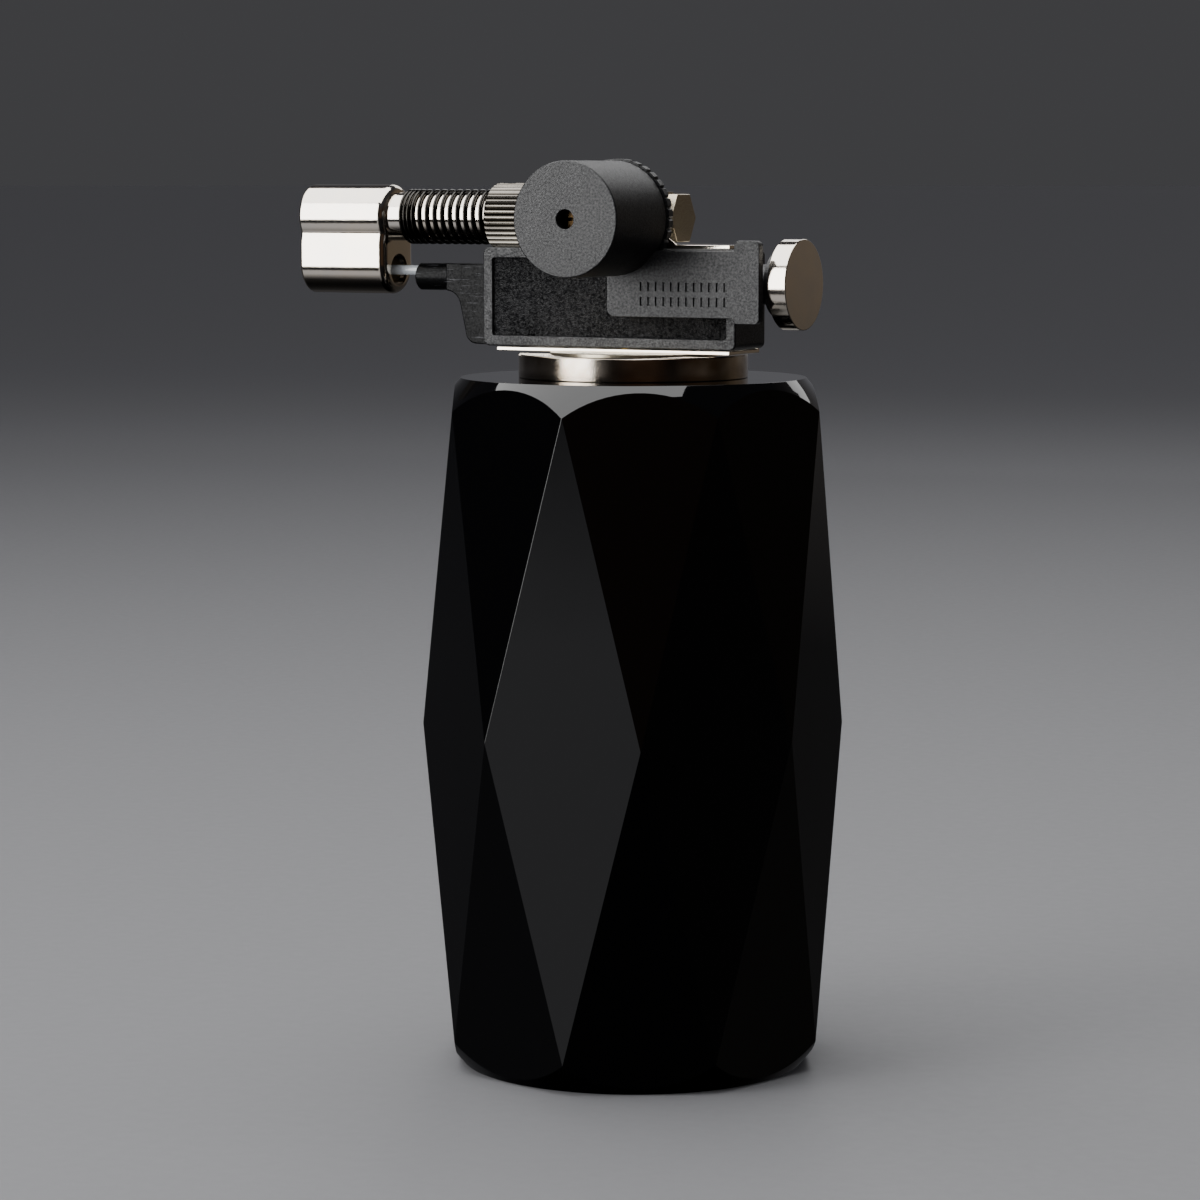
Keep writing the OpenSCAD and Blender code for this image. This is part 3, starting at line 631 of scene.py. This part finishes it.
    def done(
        self,
        body: str,
        finish: Finish,
        replaces: tuple[str, ...] = (),
        smooth: float = 35.0,
        turn: bool = True,
    ) -> bpy.types.Object:
        """Turn the work into a dressed object that rides on its body.

        Args:
            body: The CAD body it moves with, or nothing for a piece attached to none.
            finish: Its finish.
            replaces: CAD nodes it stands for.
            smooth: Edges turning less than this many degrees are shaded smooth.
            turn: Whether to turn the faces outwards.

        Returns:
            The finished object.
        """
        if turn:
            self.outward()
        mesh = bpy.data.meshes.new(self.name)
        self.bm.to_mesh(mesh)
        self.bm.free()
        mesh.polygons.foreach_set("use_smooth", [True] * len(mesh.polygons))
        mesh.set_sharp_from_angle(angle=math.radians(smooth))
        piece = bpy.data.objects.new(self.name, mesh)
        bpy.context.scene.collection.objects.link(piece)
        mesh.materials.append(finish.material())
        flat = piece.modifiers.new("flat_faces", "WEIGHTED_NORMAL")
        flat.keep_sharp = True
        if body:
            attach(piece, body)
        if replaces:
            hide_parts(*replaces)
        LOG.info("%s: %d faces", self.name, len(mesh.polygons))
        return piece


def dress(node: str, finish: Finish) -> None:
    """Give a carried-over CAD node its finish."""
    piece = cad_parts[node]
    if not piece.material_slots:
        piece.data.materials.append(finish.material())
    for held in piece.material_slots:
        held.material = finish.material()
    LOG.info("%s dressed in %s", node, finish.name)


def soften(
    node: str, body: str, finish: Finish, radius: float, degrees: float = 25.0, name: str = ""
) -> None:
    """Stand a copy with rounded edges in for a CAD node.

    Args:
        node: The CAD node.
        body: Its body.
        finish: The copy's finish.
        radius: Edge radius in millimetres.
        degrees: Edges that turn more than this are rounded.
        name: The new piece's name, or nothing for one made from the node's.
    """
    work = Workpiece(name or node + "_finished")
    work.copy_node(node)
    work.round_off(work.sharp_edges(degrees), radius, 2)
    work.done(body, finish, (node,), smooth=40, turn=False)


def wind(node: str) -> None:
    """Stand a copy in for a CAD spring, attached to no body, with its placement baked into the mesh.

    Args:
        node: The spring's CAD node.
    """
    work = Workpiece(node + "_wound")
    work.copy_node(node, 0.0)
    piece = work.done("", SPRING_STEEL, (node,), smooth=60, turn=False)
    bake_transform(piece)


def span(node: str) -> tuple[Vector, Vector]:
    """A node's box in millimetres."""
    low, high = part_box(node)
    return low / MM, high / MM


# ---------------------------------------------------------------- sub-assemblies


@dataclass
class GlassBody:
    """The cut glass body, with every facet edge polished slightly round."""

    edge_r: float = 0.42

    def build(self) -> None:
        """Round the cut edges of the glass."""
        work = Workpiece("cut_glass_body")
        work.copy_node("glass_body")
        work.round_off(work.sharp_edges(9.0), self.edge_r, 3)
        work.done("glass", GLASS, ("glass_body",), smooth=14, turn=False)


@dataclass
class BurnerHead:
    """The plated head: two lobes along X, with the flame mouth in front and the lead's hole behind."""

    upper_r: float = 4.72
    lower_r: float = 4.35
    lobe_drop: float = 7.1
    lobe_rise: float = 2.9
    rear_fillet: float = 1.1
    front_fillet: float = 0.5
    waist_fillet: float = 0.5
    mouth_r: float = 3.7
    spark_r: float = 3.0
    slot_half: float = 1.8
    mouth_depth: float = 4.3
    bore_depth: float = 7.4
    step_r: float = 2.4
    step_depth: float = 0.8
    lead_r: float = 1.95
    lead_depth: float = 5.5
    tube_r: float = 3.55
    wire_r: float = 0.24
    wire_gap: float = 0.04
    drawn_turns: tuple[tuple[float, float], ...] = ((3.0, 0.62), (1.0, 0.95))
    free_turns: float = 9.0

    def build(self) -> None:
        """Build the head, the coil and the parts they sit on."""
        self.low, self.high = span("nozzle_head")
        self.axis_z = span("burner_tube")[1].z - self.tube_r
        self.lead_z = sum(v.z for v in span("ignition_lead")) / 2
        self.head()
        self.coil()
        self.ring()
        finishes = {
            "burner_tube": NICKEL,
            "flame_plate": BROWNED_AND_SHADED_BRASS,
            "gas_jet": BRASS,
            "electrode_sleeve": CERAMIC,
            "spark_electrode": SPRING_STEEL,
            "ignition_lead": SILICONE,
        }
        for node, finish in finishes.items():
            dress(node, finish)

    def outline(self, work: Workpiece, x: float) -> list:
        """Trace the two-lobed section."""
        top, base = self.axis_z, self.axis_z - self.lobe_drop
        flank = base + self.lobe_rise
        gap = top - flank
        down = (self.upper_r**2 - self.lower_r**2 + gap**2) / (2 * gap)
        half = math.sqrt(self.upper_r**2 - down**2)
        upper = math.degrees(math.atan2(down, half))
        lower = math.degrees(math.atan2(gap - down, half))
        return work.trace(
            Side.END,
            x,
            (half, top - down),
            [
                Arc((0, top), 180 + 2 * upper, 40),
                Arc((0, flank), lower, 4),
                Line((-self.lower_r, base)),
                Arc((0, base), 180, 28),
                Line((self.lower_r, flank)),
                Arc((0, flank), lower, 4),
            ],
        )

    def head(self) -> None:
        """The shell: fillets at both ends, a stepped hole at the rear, a keyhole mouth in front."""
        work = Workpiece("burner_head")
        work.prism(self.outline(work, self.high.x), Vector((self.low.x - self.high.x, 0, 0)))
        work.outward()
        waist = work.sharp_edges(20, lambda e: abs((e.verts[0].co - e.verts[1].co).normalized().x) > 0.9)
        work.round_off(waist, self.waist_fillet, 4)
        bmesh.ops.remove_doubles(work.bm, verts=work.bm.verts, dist=1e-5)
        for x, radius in ((self.high.x, self.rear_fillet), (self.low.x, self.front_fillet)):
            rim = work.sharp_edges(40, lambda e, x=x: all(abs(v.co.x - x * MM) < 1e-6 for v in e.verts))
            work.round_off(rim, radius, 6, clamp=False)
        self.rear_hole(work)
        self.mouth(work)
        work.done("insert", NICKEL, ("nozzle_head",), smooth=40, turn=False)

    def rear_hole(self, work: Workpiece) -> None:
        """Step the lead's hole into the rear face."""
        rim = work.open_face(Vector((1, 0, 0)))
        hole = work.ring(Side.END, self.high.x, (0, self.lead_z), self.step_r, 40)
        work.fill(rim + hole)
        floor = work.sleeve(hole, Vector((-self.step_depth, 0, 0)))
        inner = work.ring(Side.END, self.high.x - self.step_depth, (0, self.lead_z), self.lead_r, 40)
        work.fill(floor + inner)
        end = work.sleeve(inner, Vector((-self.lead_depth, 0, 0)))
        work.fill(end)

    def mouth(self, work: Workpiece) -> None:
        """Cut the flame mouth, the spark gap below it and the slot between them."""
        rim = work.open_face(Vector((-1, 0, 0)))
        top, base = self.axis_z, self.lead_z
        a = math.degrees(math.asin(self.slot_half / self.mouth_r))
        b = math.degrees(math.asin(self.slot_half / self.spark_r))
        reach = self.mouth_r * math.cos(math.radians(a))
        rise = self.spark_r * math.cos(math.radians(b))
        hole = work.trace(
            Side.END,
            self.low.x,
            (self.slot_half, top - reach),
            [
                Arc((0, top), 360 - 2 * a, 40),
                Line((-self.slot_half, base + rise)),
                Arc((0, base), 360 - 2 * b, 32),
                Line((self.slot_half, top - reach)),
            ],
        )
        work.fill(rim + hole)
        back = work.sleeve(hole, Vector((self.mouth_depth, 0, 0)))
        x = self.low.x + self.mouth_depth
        bore = work.ring(Side.END, x, (0, top), self.mouth_r - 0.02, 40)
        work.fill(back + bore)
        end = work.sleeve(bore, Vector((self.bore_depth, 0, 0)))
        work.fill(end)

    def coil(self) -> None:
        """The wire wound round the burner tube, its first turns drawn together."""
        low, high = span("wire_coil")
        work = Workpiece("heat_coil")
        tip = self.coil_turns(work, low.x + self.wire_r, self.drawn_turns)
        rest = high.x - self.wire_r - tip
        self.coil_turns(work, tip, ((self.free_turns, rest / self.free_turns),))
        work.done("insert", DARK_WIRE, ("wire_coil",), smooth=60)

    def coil_turns(self, work: Workpiece, x: float, runs: tuple[tuple[float, float], ...]) -> float:
        """Wind wire about the burner's axis.

        Args:
            work: The piece to add to.
            x: Where the wire starts, in millimetres.
            runs: Turns and pitch of each run.

        Returns:
            Where the wire ends along X.
        """
        wire = self.wire_r
        radius = self.tube_r + self.wire_gap + wire
        for turns, pitch in runs:
            spot = Matrix.Translation(Vector((x, radius, self.axis_z)) * MM)
            section = bmesh.ops.create_circle(
                work.bm, cap_ends=True, radius=wire * MM, segments=10, matrix=spot
            )["verts"]
            geom = section + list({e for v in section for e in v.link_edges})
            faces = list({f for v in section for f in v.link_faces})
            steps = int(turns * 40)
            bmesh.ops.spin(
                work.bm,
                geom=geom + faces,
                cent=Vector((x, 0, self.axis_z)) * MM,
                axis=(1, 0, 0),
                dvec=Vector((turns * pitch / steps, 0, 0)) * MM,
                angle=math.tau * turns,
                steps=steps,
            )
            x += turns * pitch
        return x

    def ring(self) -> None:
        """The knurled air ring, each ridge crowned by the knurling wheel."""
        soften("air_ring", "air_ring", KNURLED, 0.06, 30, "knurled_air_ring")


@dataclass
class IgniterHousing:
    """The black housing: a bordered, grained front panel and a plain rear half."""

    edge_r: float = 0.22
    recess_r: float = 0.12
    recess: float = 0.5
    shortest: float = 0.02
    outline_gap: float = 0.4
    tube_r: float = 2.0
    tube_bore: float = 0.8
    tube_run: float = 7.4
    tube_z: float = 114.1
    web_x: float = -30.0
    web_half: float = 2.1

    def build(self) -> None:
        """Build both halves and the lead's elbow."""
        self.half("housing_front", BORDER_GRAIN)
        self.half("housing_rear", BORDER_GRAIN)
        self.elbow()
        soften("button_stem", "button", MATTE_BLACK, 0.12, 30, "button_shank")

    def half(self, node: str, finish: Finish) -> None:
        """Round a half's outer edges and grain the sunk panel of the front one.

        Args:
            node: The half's CAD node.
            finish: Its finish.
        """
        low, high = span(node)
        far_y = low.y if abs(low.y) > abs(high.y) else high.y
        work = Workpiece(node + "_shell")
        work.copy_node(node)

        def on_rim(edge: Edge) -> bool:
            """Whether an edge lies on the half's outer face."""
            return all(abs(v.co.y / MM - far_y) < 0.01 for v in edge.verts)

        rim = work.sharp_edges(40, on_rim)
        outer = [e for e in rim if self.near_outline(e, low, high)]
        inner = [e for e in rim if e not in outer and e.calc_length() > self.shortest * MM]
        work.round_off(outer, self.edge_r, 3)
        inner = [e for e in inner if e.is_valid]
        if node == "housing_front":
            work.round_off(inner, self.recess_r, 2)
            floor_y = low.y + self.recess
            for face in work.bm.faces:
                mid = face.calc_center_median() / MM
                if face.normal.y < -0.99 and abs(mid.y - floor_y) < 0.02:
                    face.material_index = 1
        piece = work.done("insert", finish, (node,), smooth=30, turn=False)
        if node == "housing_front":
            piece.data.materials.append(PANEL_GRAIN.material())

    def near_outline(self, edge: Edge, low: Vector, high: Vector) -> bool:
        """Whether an edge lies close to a half's outline, seen along Y."""
        mid = (edge.verts[0].co + edge.verts[1].co) / 2 / MM
        gap = min(mid.x - low.x, high.x - mid.x, mid.z - low.z, high.z - mid.z)
        return gap < self.outline_gap

    def elbow(self) -> None:
        """The moulded elbow that carries the lead out of the housing."""
        low = span("lead_conduit")[0]
        work = Workpiece("lead_elbow")
        right, top = -22.0, 116.1
        edges = work.trace(
            Side.FRONT,
            self.web_half,
            (self.web_x + 2.4, top),
            [
                Line((self.web_x, top)),
                Line((self.web_x, 112.1)),
                Arc((self.web_x, 109.7), -80, 8),
                Line((-26.75, 106.2)),
                Arc((-24.9, 106.2), 90, 8),
                Line((right, low.z)),
                Line((right, top)),
                Line((self.web_x + 2.4, top)),
            ],
        )
        work.prism(edges, Vector((0, -2 * self.web_half, 0)))
        work.outward()
        free = work.sharp_edges(40, lambda e: all(v.co.x < (right - 0.3) * MM for v in e.verts))
        work.round_off(free, 0.75, 4)
        r, bore, run = self.tube_r, self.tube_bore, self.tube_run
        work.lathe(
            [(0, bore), (0, r - 0.25), (0.25, r), (run, r), (run, bore)],
            Vector((low.x, 0, self.tube_z)),
            Vector((1, 0, 0)),
            48,
        )
        work.done("insert", SCUFFED_BLACK, ("lead_conduit",), smooth=35)


@dataclass
class Stopper:
    """The one-piece transport stopper: a cap over the gas knob, a plate and a cross bar."""

    axis_x: float = 0.63
    cap_back: float = -6.95
    wall: float = 1.42
    face_t: float = 1.78
    pinhole_r: float = 1.35
    left: float = -0.3
    joint: float = 19.8
    base: float = 108.95
    top: float = 118.4
    bar_rise: float = 1.5
    corner_r: float = 1.2
    bar_corner_r: float = 0.8
    face_y: float = -7.75
    cap_gap_r: float = 7.4
    backing_gap_r: float = 8.8
    dashes: int = 12
    dash_x: float = 5.0
    dash_pitch: float = 1.2
    dash: float = 0.6
    dash_depth: float = 0.24
    rows: int = 2
    row_pitch: float = 2.1
    row: tuple[float, float] = (110.55, 111.85)

    def build(self) -> None:
        """Build the cap and the plate."""
        self.low, self.high = span("stopper")
        self.axis_z = sum(v.z for v in span("gas_knob")) / 2
        self.cap()
        self.plate()

    def cap(self) -> None:
        """The turned-looking cap with its pinhole."""
        front, back = self.low.y, self.cap_back
        outer = self.high.z - self.axis_z
        inner = outer - self.wall
        deep = front + self.face_t
        work = Workpiece("stopper_cap")
        work.lathe(
            [
                (deep, self.pinhole_r),
                (front, self.pinhole_r),
                (front, outer),
                (back, outer),
                (back, inner),
                (deep, inner),
            ],
            Vector((self.axis_x, 0, self.axis_z)),
            Vector((0, 1, 0)),
            128,
        )
        work.outward()
        rims = work.sharp_edges(40)
        work.round_off([e for e in rims if self._reach(e) > outer - 0.1], 0.22, 4)
        work.round_off([e for e in work.sharp_edges(60) if self._reach(e) < 2], 0.12, 3)
        work.done("stopper", MATTE_BLACK, ("stopper",), smooth=40)

    def _reach(self, edge: Edge) -> float:
        """An edge's distance from the cap's axis, in millimetres."""
        mid = (edge.verts[0].co + edge.verts[1].co) / 2 / MM
        return math.hypot(mid.x - self.axis_x, mid.z - self.axis_z)

    def bite(self, radius: float) -> tuple[float, float, float]:
        """Where a circle about the cap's axis crosses the plate's left and top edges.

        Args:
            radius: The circle's radius.

        Returns:
            Height of the crossing on the left, X of the one on top, and the angle between them.
        """
        left, top = self.left, self.top
        low = self.axis_z - math.sqrt(radius**2 - (left - self.axis_x) ** 2)
        far = self.axis_x + math.sqrt(radius**2 - (self.axis_z - top) ** 2)
        a = math.atan2(top - self.axis_z, far - self.axis_x)
        b = math.atan2(low - self.axis_z, left - self.axis_x)
        return low, far, math.degrees(b - a)

    def plate(self) -> None:
        """The plate over the housing's front, with its cross bar and two rows of dashes."""
        left, right, joint = self.left, self.high.x, self.joint
        base, top = self.base, self.top
        foot, crown = self.low.z, top + self.bar_rise
        r, q = self.corner_r, self.bar_corner_r
        low, far, turn = self.bite(self.cap_gap_r)
        work = Workpiece("stopper_plate")
        edges = work.trace(
            Side.FRONT,
            self.face_y,
            (left, low),
            [
                Line((left, base + r)),
                Arc((left + r, base + r), 90, 6),
                Line((joint - 0.3, base)),
                Line((joint, base - 0.3)),
                Line((joint, foot + 0.4)),
                Arc((joint + 0.4, foot + 0.4), 90, 4),
                Line((right - q, foot)),
                Arc((right - q, foot + q), 90, 6),
                Line((right, crown - q)),
                Arc((right - q, crown - q), 90, 6),
                Line((joint + q, crown)),
                Arc((joint + q, crown - q), 90, 6),
                Line((joint, top)),
                Line((far, top)),
                Arc((self.axis_x, self.axis_z), turn, 14),
            ],
        )
        work.prism(edges, Vector((0, 0.8, 0)))
        work.outward()
        rim = work.sharp_edges(40, lambda e: all(v.co.y < -7.7 * MM for v in e.verts))
        work.round_off(rim, 0.22, 3)
        self.score(work)
        work.block(Vector((joint, -7.0, foot)), Vector((right, -6.45, crown)), q, along=1)
        low, far, turn = self.bite(self.backing_gap_r)
        backing = work.trace(
            Side.FRONT,
            -6.97,
            (left, low),
            [
                Line((left, base + r)),
                Arc((left + r, base + r), 90, 6),
                Line((joint - 0.2, base)),
                Line((joint - 0.2, top)),
                Line((far, top)),
                Arc((self.axis_x, self.axis_z), turn, 14),
            ],
        )
        work.prism(backing, Vector((0, 1.62, 0)))
        work.done("stopper", MATTE_BLACK, (), smooth=35)

    def score(self, work: Workpiece) -> None:
        """Sink the rows of dashes into the plate's face."""
        start, pitch = self.dash_x, self.dash_pitch
        cuts = [start + pitch * k + s for k in range(self.dashes) for s in (0.0, self.dash)]
        rows = [tuple(z + self.row_pitch * k for z in self.row) for k in range(self.rows)]
        for x in cuts:
            self.slice(work, Vector((x, 0, 0)), Vector((1, 0, 0)))
        for z in (z for row in rows for z in row):
            self.slice(work, Vector((0, 0, z)), Vector((0, 0, 1)))
        marked = []
        for face in work.bm.faces:
            mid = face.calc_center_median() / MM
            in_row = any(a < mid.z < b for a, b in rows)
            in_dash = start < mid.x < cuts[-1] and (mid.x - start) % pitch < self.dash
            if face.normal.y < -0.99 and in_row and in_dash:
                marked.append(face)
        for face in marked:
            bmesh.ops.inset_region(work.bm, faces=[face], thickness=0.04 * MM)
            bmesh.ops.translate(work.bm, verts=list(face.verts), vec=(0, self.dash_depth * MM, 0))

    @staticmethod
    def slice(work: Workpiece, spot: Vector, normal: Vector) -> None:
        """Split the faces along a plane."""
        everything = list(work.bm.verts) + list(work.bm.edges) + list(work.bm.faces)
        bmesh.ops.bisect_plane(work.bm, geom=everything, dist=1e-7, plane_co=spot * MM, plane_no=normal)


@dataclass
class Plating:
    """The nickel-plated collar, frame, valve block and button."""

    collar_bore: float = 12.05
    rim_r: float = 15.0
    socket_depth: float = 1.35
    socket_r: float = 2.0

    def build(self) -> None:
        """Build the plated pieces."""
        self.collar()
        self.button()
        soften("frame_bracket", "insert", NICKEL, 0.1, 30, "folded_frame")
        soften("valve_block", "insert", SATIN_NICKEL, 0.25, 40, "valve_block_finished")
        soften("hex_plug", "insert", SATIN_NICKEL, 0.14, 40, "hex_plug_finished")
        soften("packing_nut", "insert", SATIN_NICKEL, 0.1, 40, "packing_nut_finished")

    def collar(self) -> None:
        """The collar ring, crowned at its top rim."""
        low, high = span("neck_collar")
        r = high.x
        work = Workpiece("collar_ring")
        profile = [(low.z, self.collar_bore), (low.z, r), (high.z, r), (high.z, self.collar_bore)]
        work.lathe(profile, Vector((0, 0, 0)), Vector((0, 0, 1)), 144)
        work.outward()

        def on_rim(edge: Edge) -> bool:
            """Whether an edge lies on the ring's outside."""
            return edge.verts[0].co.xy.length > self.rim_r * MM

        rims = work.sharp_edges(40, on_rim)
        work.round_off([e for e in rims if e.verts[0].co.z > (high.z - 0.1) * MM], 0.28, 4)
        work.round_off(work.sharp_edges(60, on_rim), 0.15, 2)
        work.done("insert", PITTED_NICKEL, ("neck_collar",), smooth=40)

    def button(self) -> None:
        """The button, a disc with softly turned rims."""
        low, high = span("button_cap")
        spot = Vector((low.x, (low.y + high.y) / 2, (low.z + high.z) / 2))
        r, t = (high.z - low.z) / 2, high.x - low.x
        deep, bore = self.socket_depth, self.socket_r
        work = Workpiece("igniter_button")
        profile = [(deep, 0), (deep, bore), (0, bore), (0, r), (t, r), (t, 0)]
        work.lathe(profile, spot, Vector((1, 0, 0)), 128)
        work.outward()
        rims = work.sharp_edges(60, lambda e: ((e.verts[0].co / MM - spot).yz.length > r - 0.1))
        work.round_off(rims, 0.14, 3)
        work.done("button", NICKEL, ("button_cap",), smooth=40)


@dataclass
class Innards:
    """Nodes inside the torch, and small hardware, that keep their CAD shape."""

    finishes: dict[str, Finish] = field(
        default_factory=lambda: {
            "fuel_tank": ALUMINIUM,
            "tank_lid": SATIN_NICKEL,
            "grip_rings": NITRILE,
            "pickup_tube": CREAM_PLASTIC,
            "fill_valve_body": BRASS,
            "fill_valve_stem": BRASS,
            "fill_valve_gasket": NITRILE,
            "outlet_valve_body": BRASS,
            "outlet_valve_stem": BRASS,
            "outlet_valve_seal": NITRILE,
            "gas_riser": COPPER,
            "frame_screws": ZINC,
            "housing_screws": ZINC,
            "piezo_case": CREAM_PLASTIC,
            "piezo_contact": BRASS,
            "piezo_plunger": CREAM_PLASTIC,
            "gas_lever": ZINC,
            "lever_pin": ZINC,
            "spindle_seal": NITRILE,
            # Painted shade: the spindle's brass is painted dark because its end sits deep in the cap's
            # pinhole.
            "gas_spindle": BROWNED_AND_SHADED_BRASS,
            "gas_knob": MATTE_BLACK,
        }
    )

    def build(self) -> None:
        """Dress each node."""
        for node, finish in self.finishes.items():
            dress(node, finish)
        wind("piezo_spring")
        for valve in ("outlet", "fill"):
            wind(f"{valve}_valve_spring")


# ---------------------------------------------------------------- studio


@dataclass
class Studio:
    """Camera, pale floor and soft light; gap, in metres, keeps a lamp pair from hiding one another."""

    azimuth: float = 27.187
    distance: float = 567.75
    height: float = 129.285
    pitch: float = 6.209
    yaw: float = 0.486
    lens: float = 117.687
    backdrop: str = "424244"
    gap: float = 0.004
    wall_stops: list[tuple[float, str]] = field(
        default_factory=lambda: [
            (0.0, "202023"),
            (0.27, "201e1d"),
            (0.32, "3a2c22"),
            (0.38, "3a2c22"),
            (0.43, "1c1a19"),
            (0.5, "33281f"),
            (0.6, "2f2a25"),
            (0.67, "5a5248"),
            (0.78, "707074"),
            (0.88, "4a4a4d"),
            (0.95, "242427"),
        ]
    )
    table_stops: list[tuple[float, str]] = field(
        default_factory=lambda: [
            (0.0, "3c3c3e"),
            (0.1, "3f3f41"),
            (0.14, "b3b3b6"),
            (0.22, "b3b3b6"),
            (0.26, "1b1b1d"),
            (0.45, "0c0c0d"),
            (0.53, "55524f"),
            (0.62, "2a2826"),
            (0.82, "3a3a3c"),
            (0.95, "3c3c3e"),
        ]
    )
    depth_stops: list[tuple[float, str]] = field(
        default_factory=lambda: [(0.1, "000000"), (0.3, "b0b0b0"), (0.45, "ffffff")]
    )
    stripe_stops: list[tuple[float, str]] = field(
        default_factory=lambda: [(0.62, "000000"), (0.65, "ffffff"), (0.83, "ffffff"), (0.87, "000000")]
    )
    sector_stops: list[tuple[float, str]] = field(
        default_factory=lambda: [(0.11, "000000"), (0.13, "ffffff"), (0.18, "ffffff"), (0.2, "000000")]
    )

    def build(self) -> None:
        """Set up the whole studio."""
        self.camera()
        self.floor()
        self.lights()
        self.surroundings()

    def camera(self) -> None:
        """Place the camera."""
        a = math.radians(self.azimuth)
        y = a + math.radians(self.yaw)
        p = math.radians(self.pitch)
        spot = Vector((self.distance * math.sin(a), -self.distance * math.cos(a), self.height))
        look = Vector((-math.sin(y) * math.cos(p), math.cos(y) * math.cos(p), -math.sin(p)))
        lens = bpy.data.cameras.new("studio_camera")
        lens.lens = self.lens
        lens.sensor_width = 36.0
        lens.clip_start, lens.clip_end = 0.01, 50
        eye = bpy.data.objects.new("studio_camera", lens)
        eye.location = spot * MM
        eye.rotation_mode = "QUATERNION"
        eye.rotation_quaternion = look.to_track_quat("-Z", "Y")
        bpy.context.scene.collection.objects.link(eye)
        bpy.context.scene.camera = eye

    def floor(self) -> None:
        """A wide, pale, slightly satin floor."""
        bm = bmesh.new()
        bmesh.ops.create_circle(bm, cap_ends=True, radius=40.0, segments=96)
        mesh = bpy.data.meshes.new("floor")
        bm.to_mesh(mesh)
        bm.free()
        slab = bpy.data.objects.new("floor", mesh)
        bpy.context.scene.collection.objects.link(slab)
        mesh.materials.append(FLOOR_PAINT.material())
        slab.visible_glossy = False

    def softbox(
        self, name: str, spot: Vector, aim: Vector, size: tuple[float, float], glow: float, shine: float
    ) -> None:
        """Add a rectangular softbox, as one lamp for matt surfaces and one for reflections.

        Args:
            name: The light's name.
            spot: Where it stands, in metres.
            aim: What it points at, in metres.
            size: Width and height in metres.
            glow: How bright its face is to matt surfaces; 1 shows as white.
            shine: How bright its reflection is.
        """
        for kind, level in (("glow", glow), ("shine", shine)):
            lamp = bpy.data.lights.new(f"{name}_{kind}", "AREA")
            lamp.shape = "RECTANGLE"
            lamp.size, lamp.size_y = size
            lamp.energy = level * math.pi * size[0] * size[1]
            box = bpy.data.objects.new(f"{name}_{kind}", lamp)
            box.location = spot if kind == "glow" else spot + (aim - spot).normalized() * self.gap
            box.rotation_mode = "QUATERNION"
            box.rotation_quaternion = (aim - spot).to_track_quat("-Z", "Y")
            box.visible_camera = False
            box.visible_glossy = kind == "shine"
            box.visible_diffuse = kind == "glow"
            bpy.context.scene.collection.objects.link(box)

    def lights(self) -> None:
        """A tall key at the front left, a wide bank overhead past a dark seam, and a soft back light."""
        a = math.radians(-32.0)
        key = Vector((math.sin(a) * 0.7, -math.cos(a) * 0.7, 0.345))
        self.softbox("key", key, Vector((0, 0, 0.345)), (0.4, 0.69), 3.4, 7.0)
        self.softbox("bank", Vector((-0.3, -0.08, 0.8)), Vector((-0.3, -0.08, 0)), (1.2, 1.0), 1.4, 4.0)
        self.softbox("back", Vector((-0.2, 1.3, 0.8)), Vector((-0.1, 0, 0.1)), (1.0, 0.5), 0.5, 1.8)

    def surroundings(self) -> None:
        """A plain grey backdrop for the eye; for the polished parts, a dim room.

        The walls' colours go round the horizon: a warm wall on the right gives the plated parts
        their brown bands. The table's go round below it, fading with depth, and a dark stripe
        crosses the table in front of the key.
        """
        world = bpy.data.worlds.new("studio")
        bpy.context.scene.world = world
        world.use_nodes = True
        tree = world.node_tree
        tree.nodes.clear()
        spot = add_node(tree, "ShaderNodeTexCoord", {}).outputs["Generated"]
        turn = add_node(tree, "ShaderNodeTexGradient", {"Vector": spot}, gradient_type="RADIAL")
        around = turn.outputs["Fac"]
        height = add_node(tree, "ShaderNodeSeparateXYZ", {"Vector": spot}).outputs["Z"]
        plunge = band(tree, height, -1.0, 0.0)
        depth = ramp(tree, plunge, self.depth_stops)
        below = mix(tree, 1.0, ramp(tree, around, self.table_stops), depth, "MULTIPLY")
        stripe = ramp(tree, plunge, self.stripe_stops)
        seam = mix(tree, 1.0, stripe, ramp(tree, around, self.sector_stops), "MULTIPLY")
        below = mix(tree, seam, below, linear("18181a"))
        side = mix(tree, band(tree, height, -0.12, -0.02), below, ramp(tree, around, self.wall_stops))
        room = mix(tree, band(tree, height, 0.25, 0.6), side, linear("303034"))
        ray = add_node(tree, "ShaderNodeLightPath", {})
        soft = mix(tree, ray.outputs["Is Diffuse Ray"], room, linear("77777a"))
        sight = mix(tree, ray.outputs["Is Camera Ray"], soft, linear(self.backdrop))
        glow = add_node(tree, "ShaderNodeBackground", {"Color": sight, "Strength": 1.0})
        add_node(tree, "ShaderNodeOutputWorld", {"Surface": glow.outputs["Background"]})


def main() -> None:
    """Build the studio, then every sub-assembly in order."""
    logging.basicConfig(level=logging.INFO, format="%(name)s: %(message)s")
    for part in (Studio(), GlassBody(), Plating(), IgniterHousing(), BurnerHead(), Stopper(), Innards()):
        LOG.info("building %s", type(part).__name__)
        part.build()


if __name__ == "__main__":
    main()
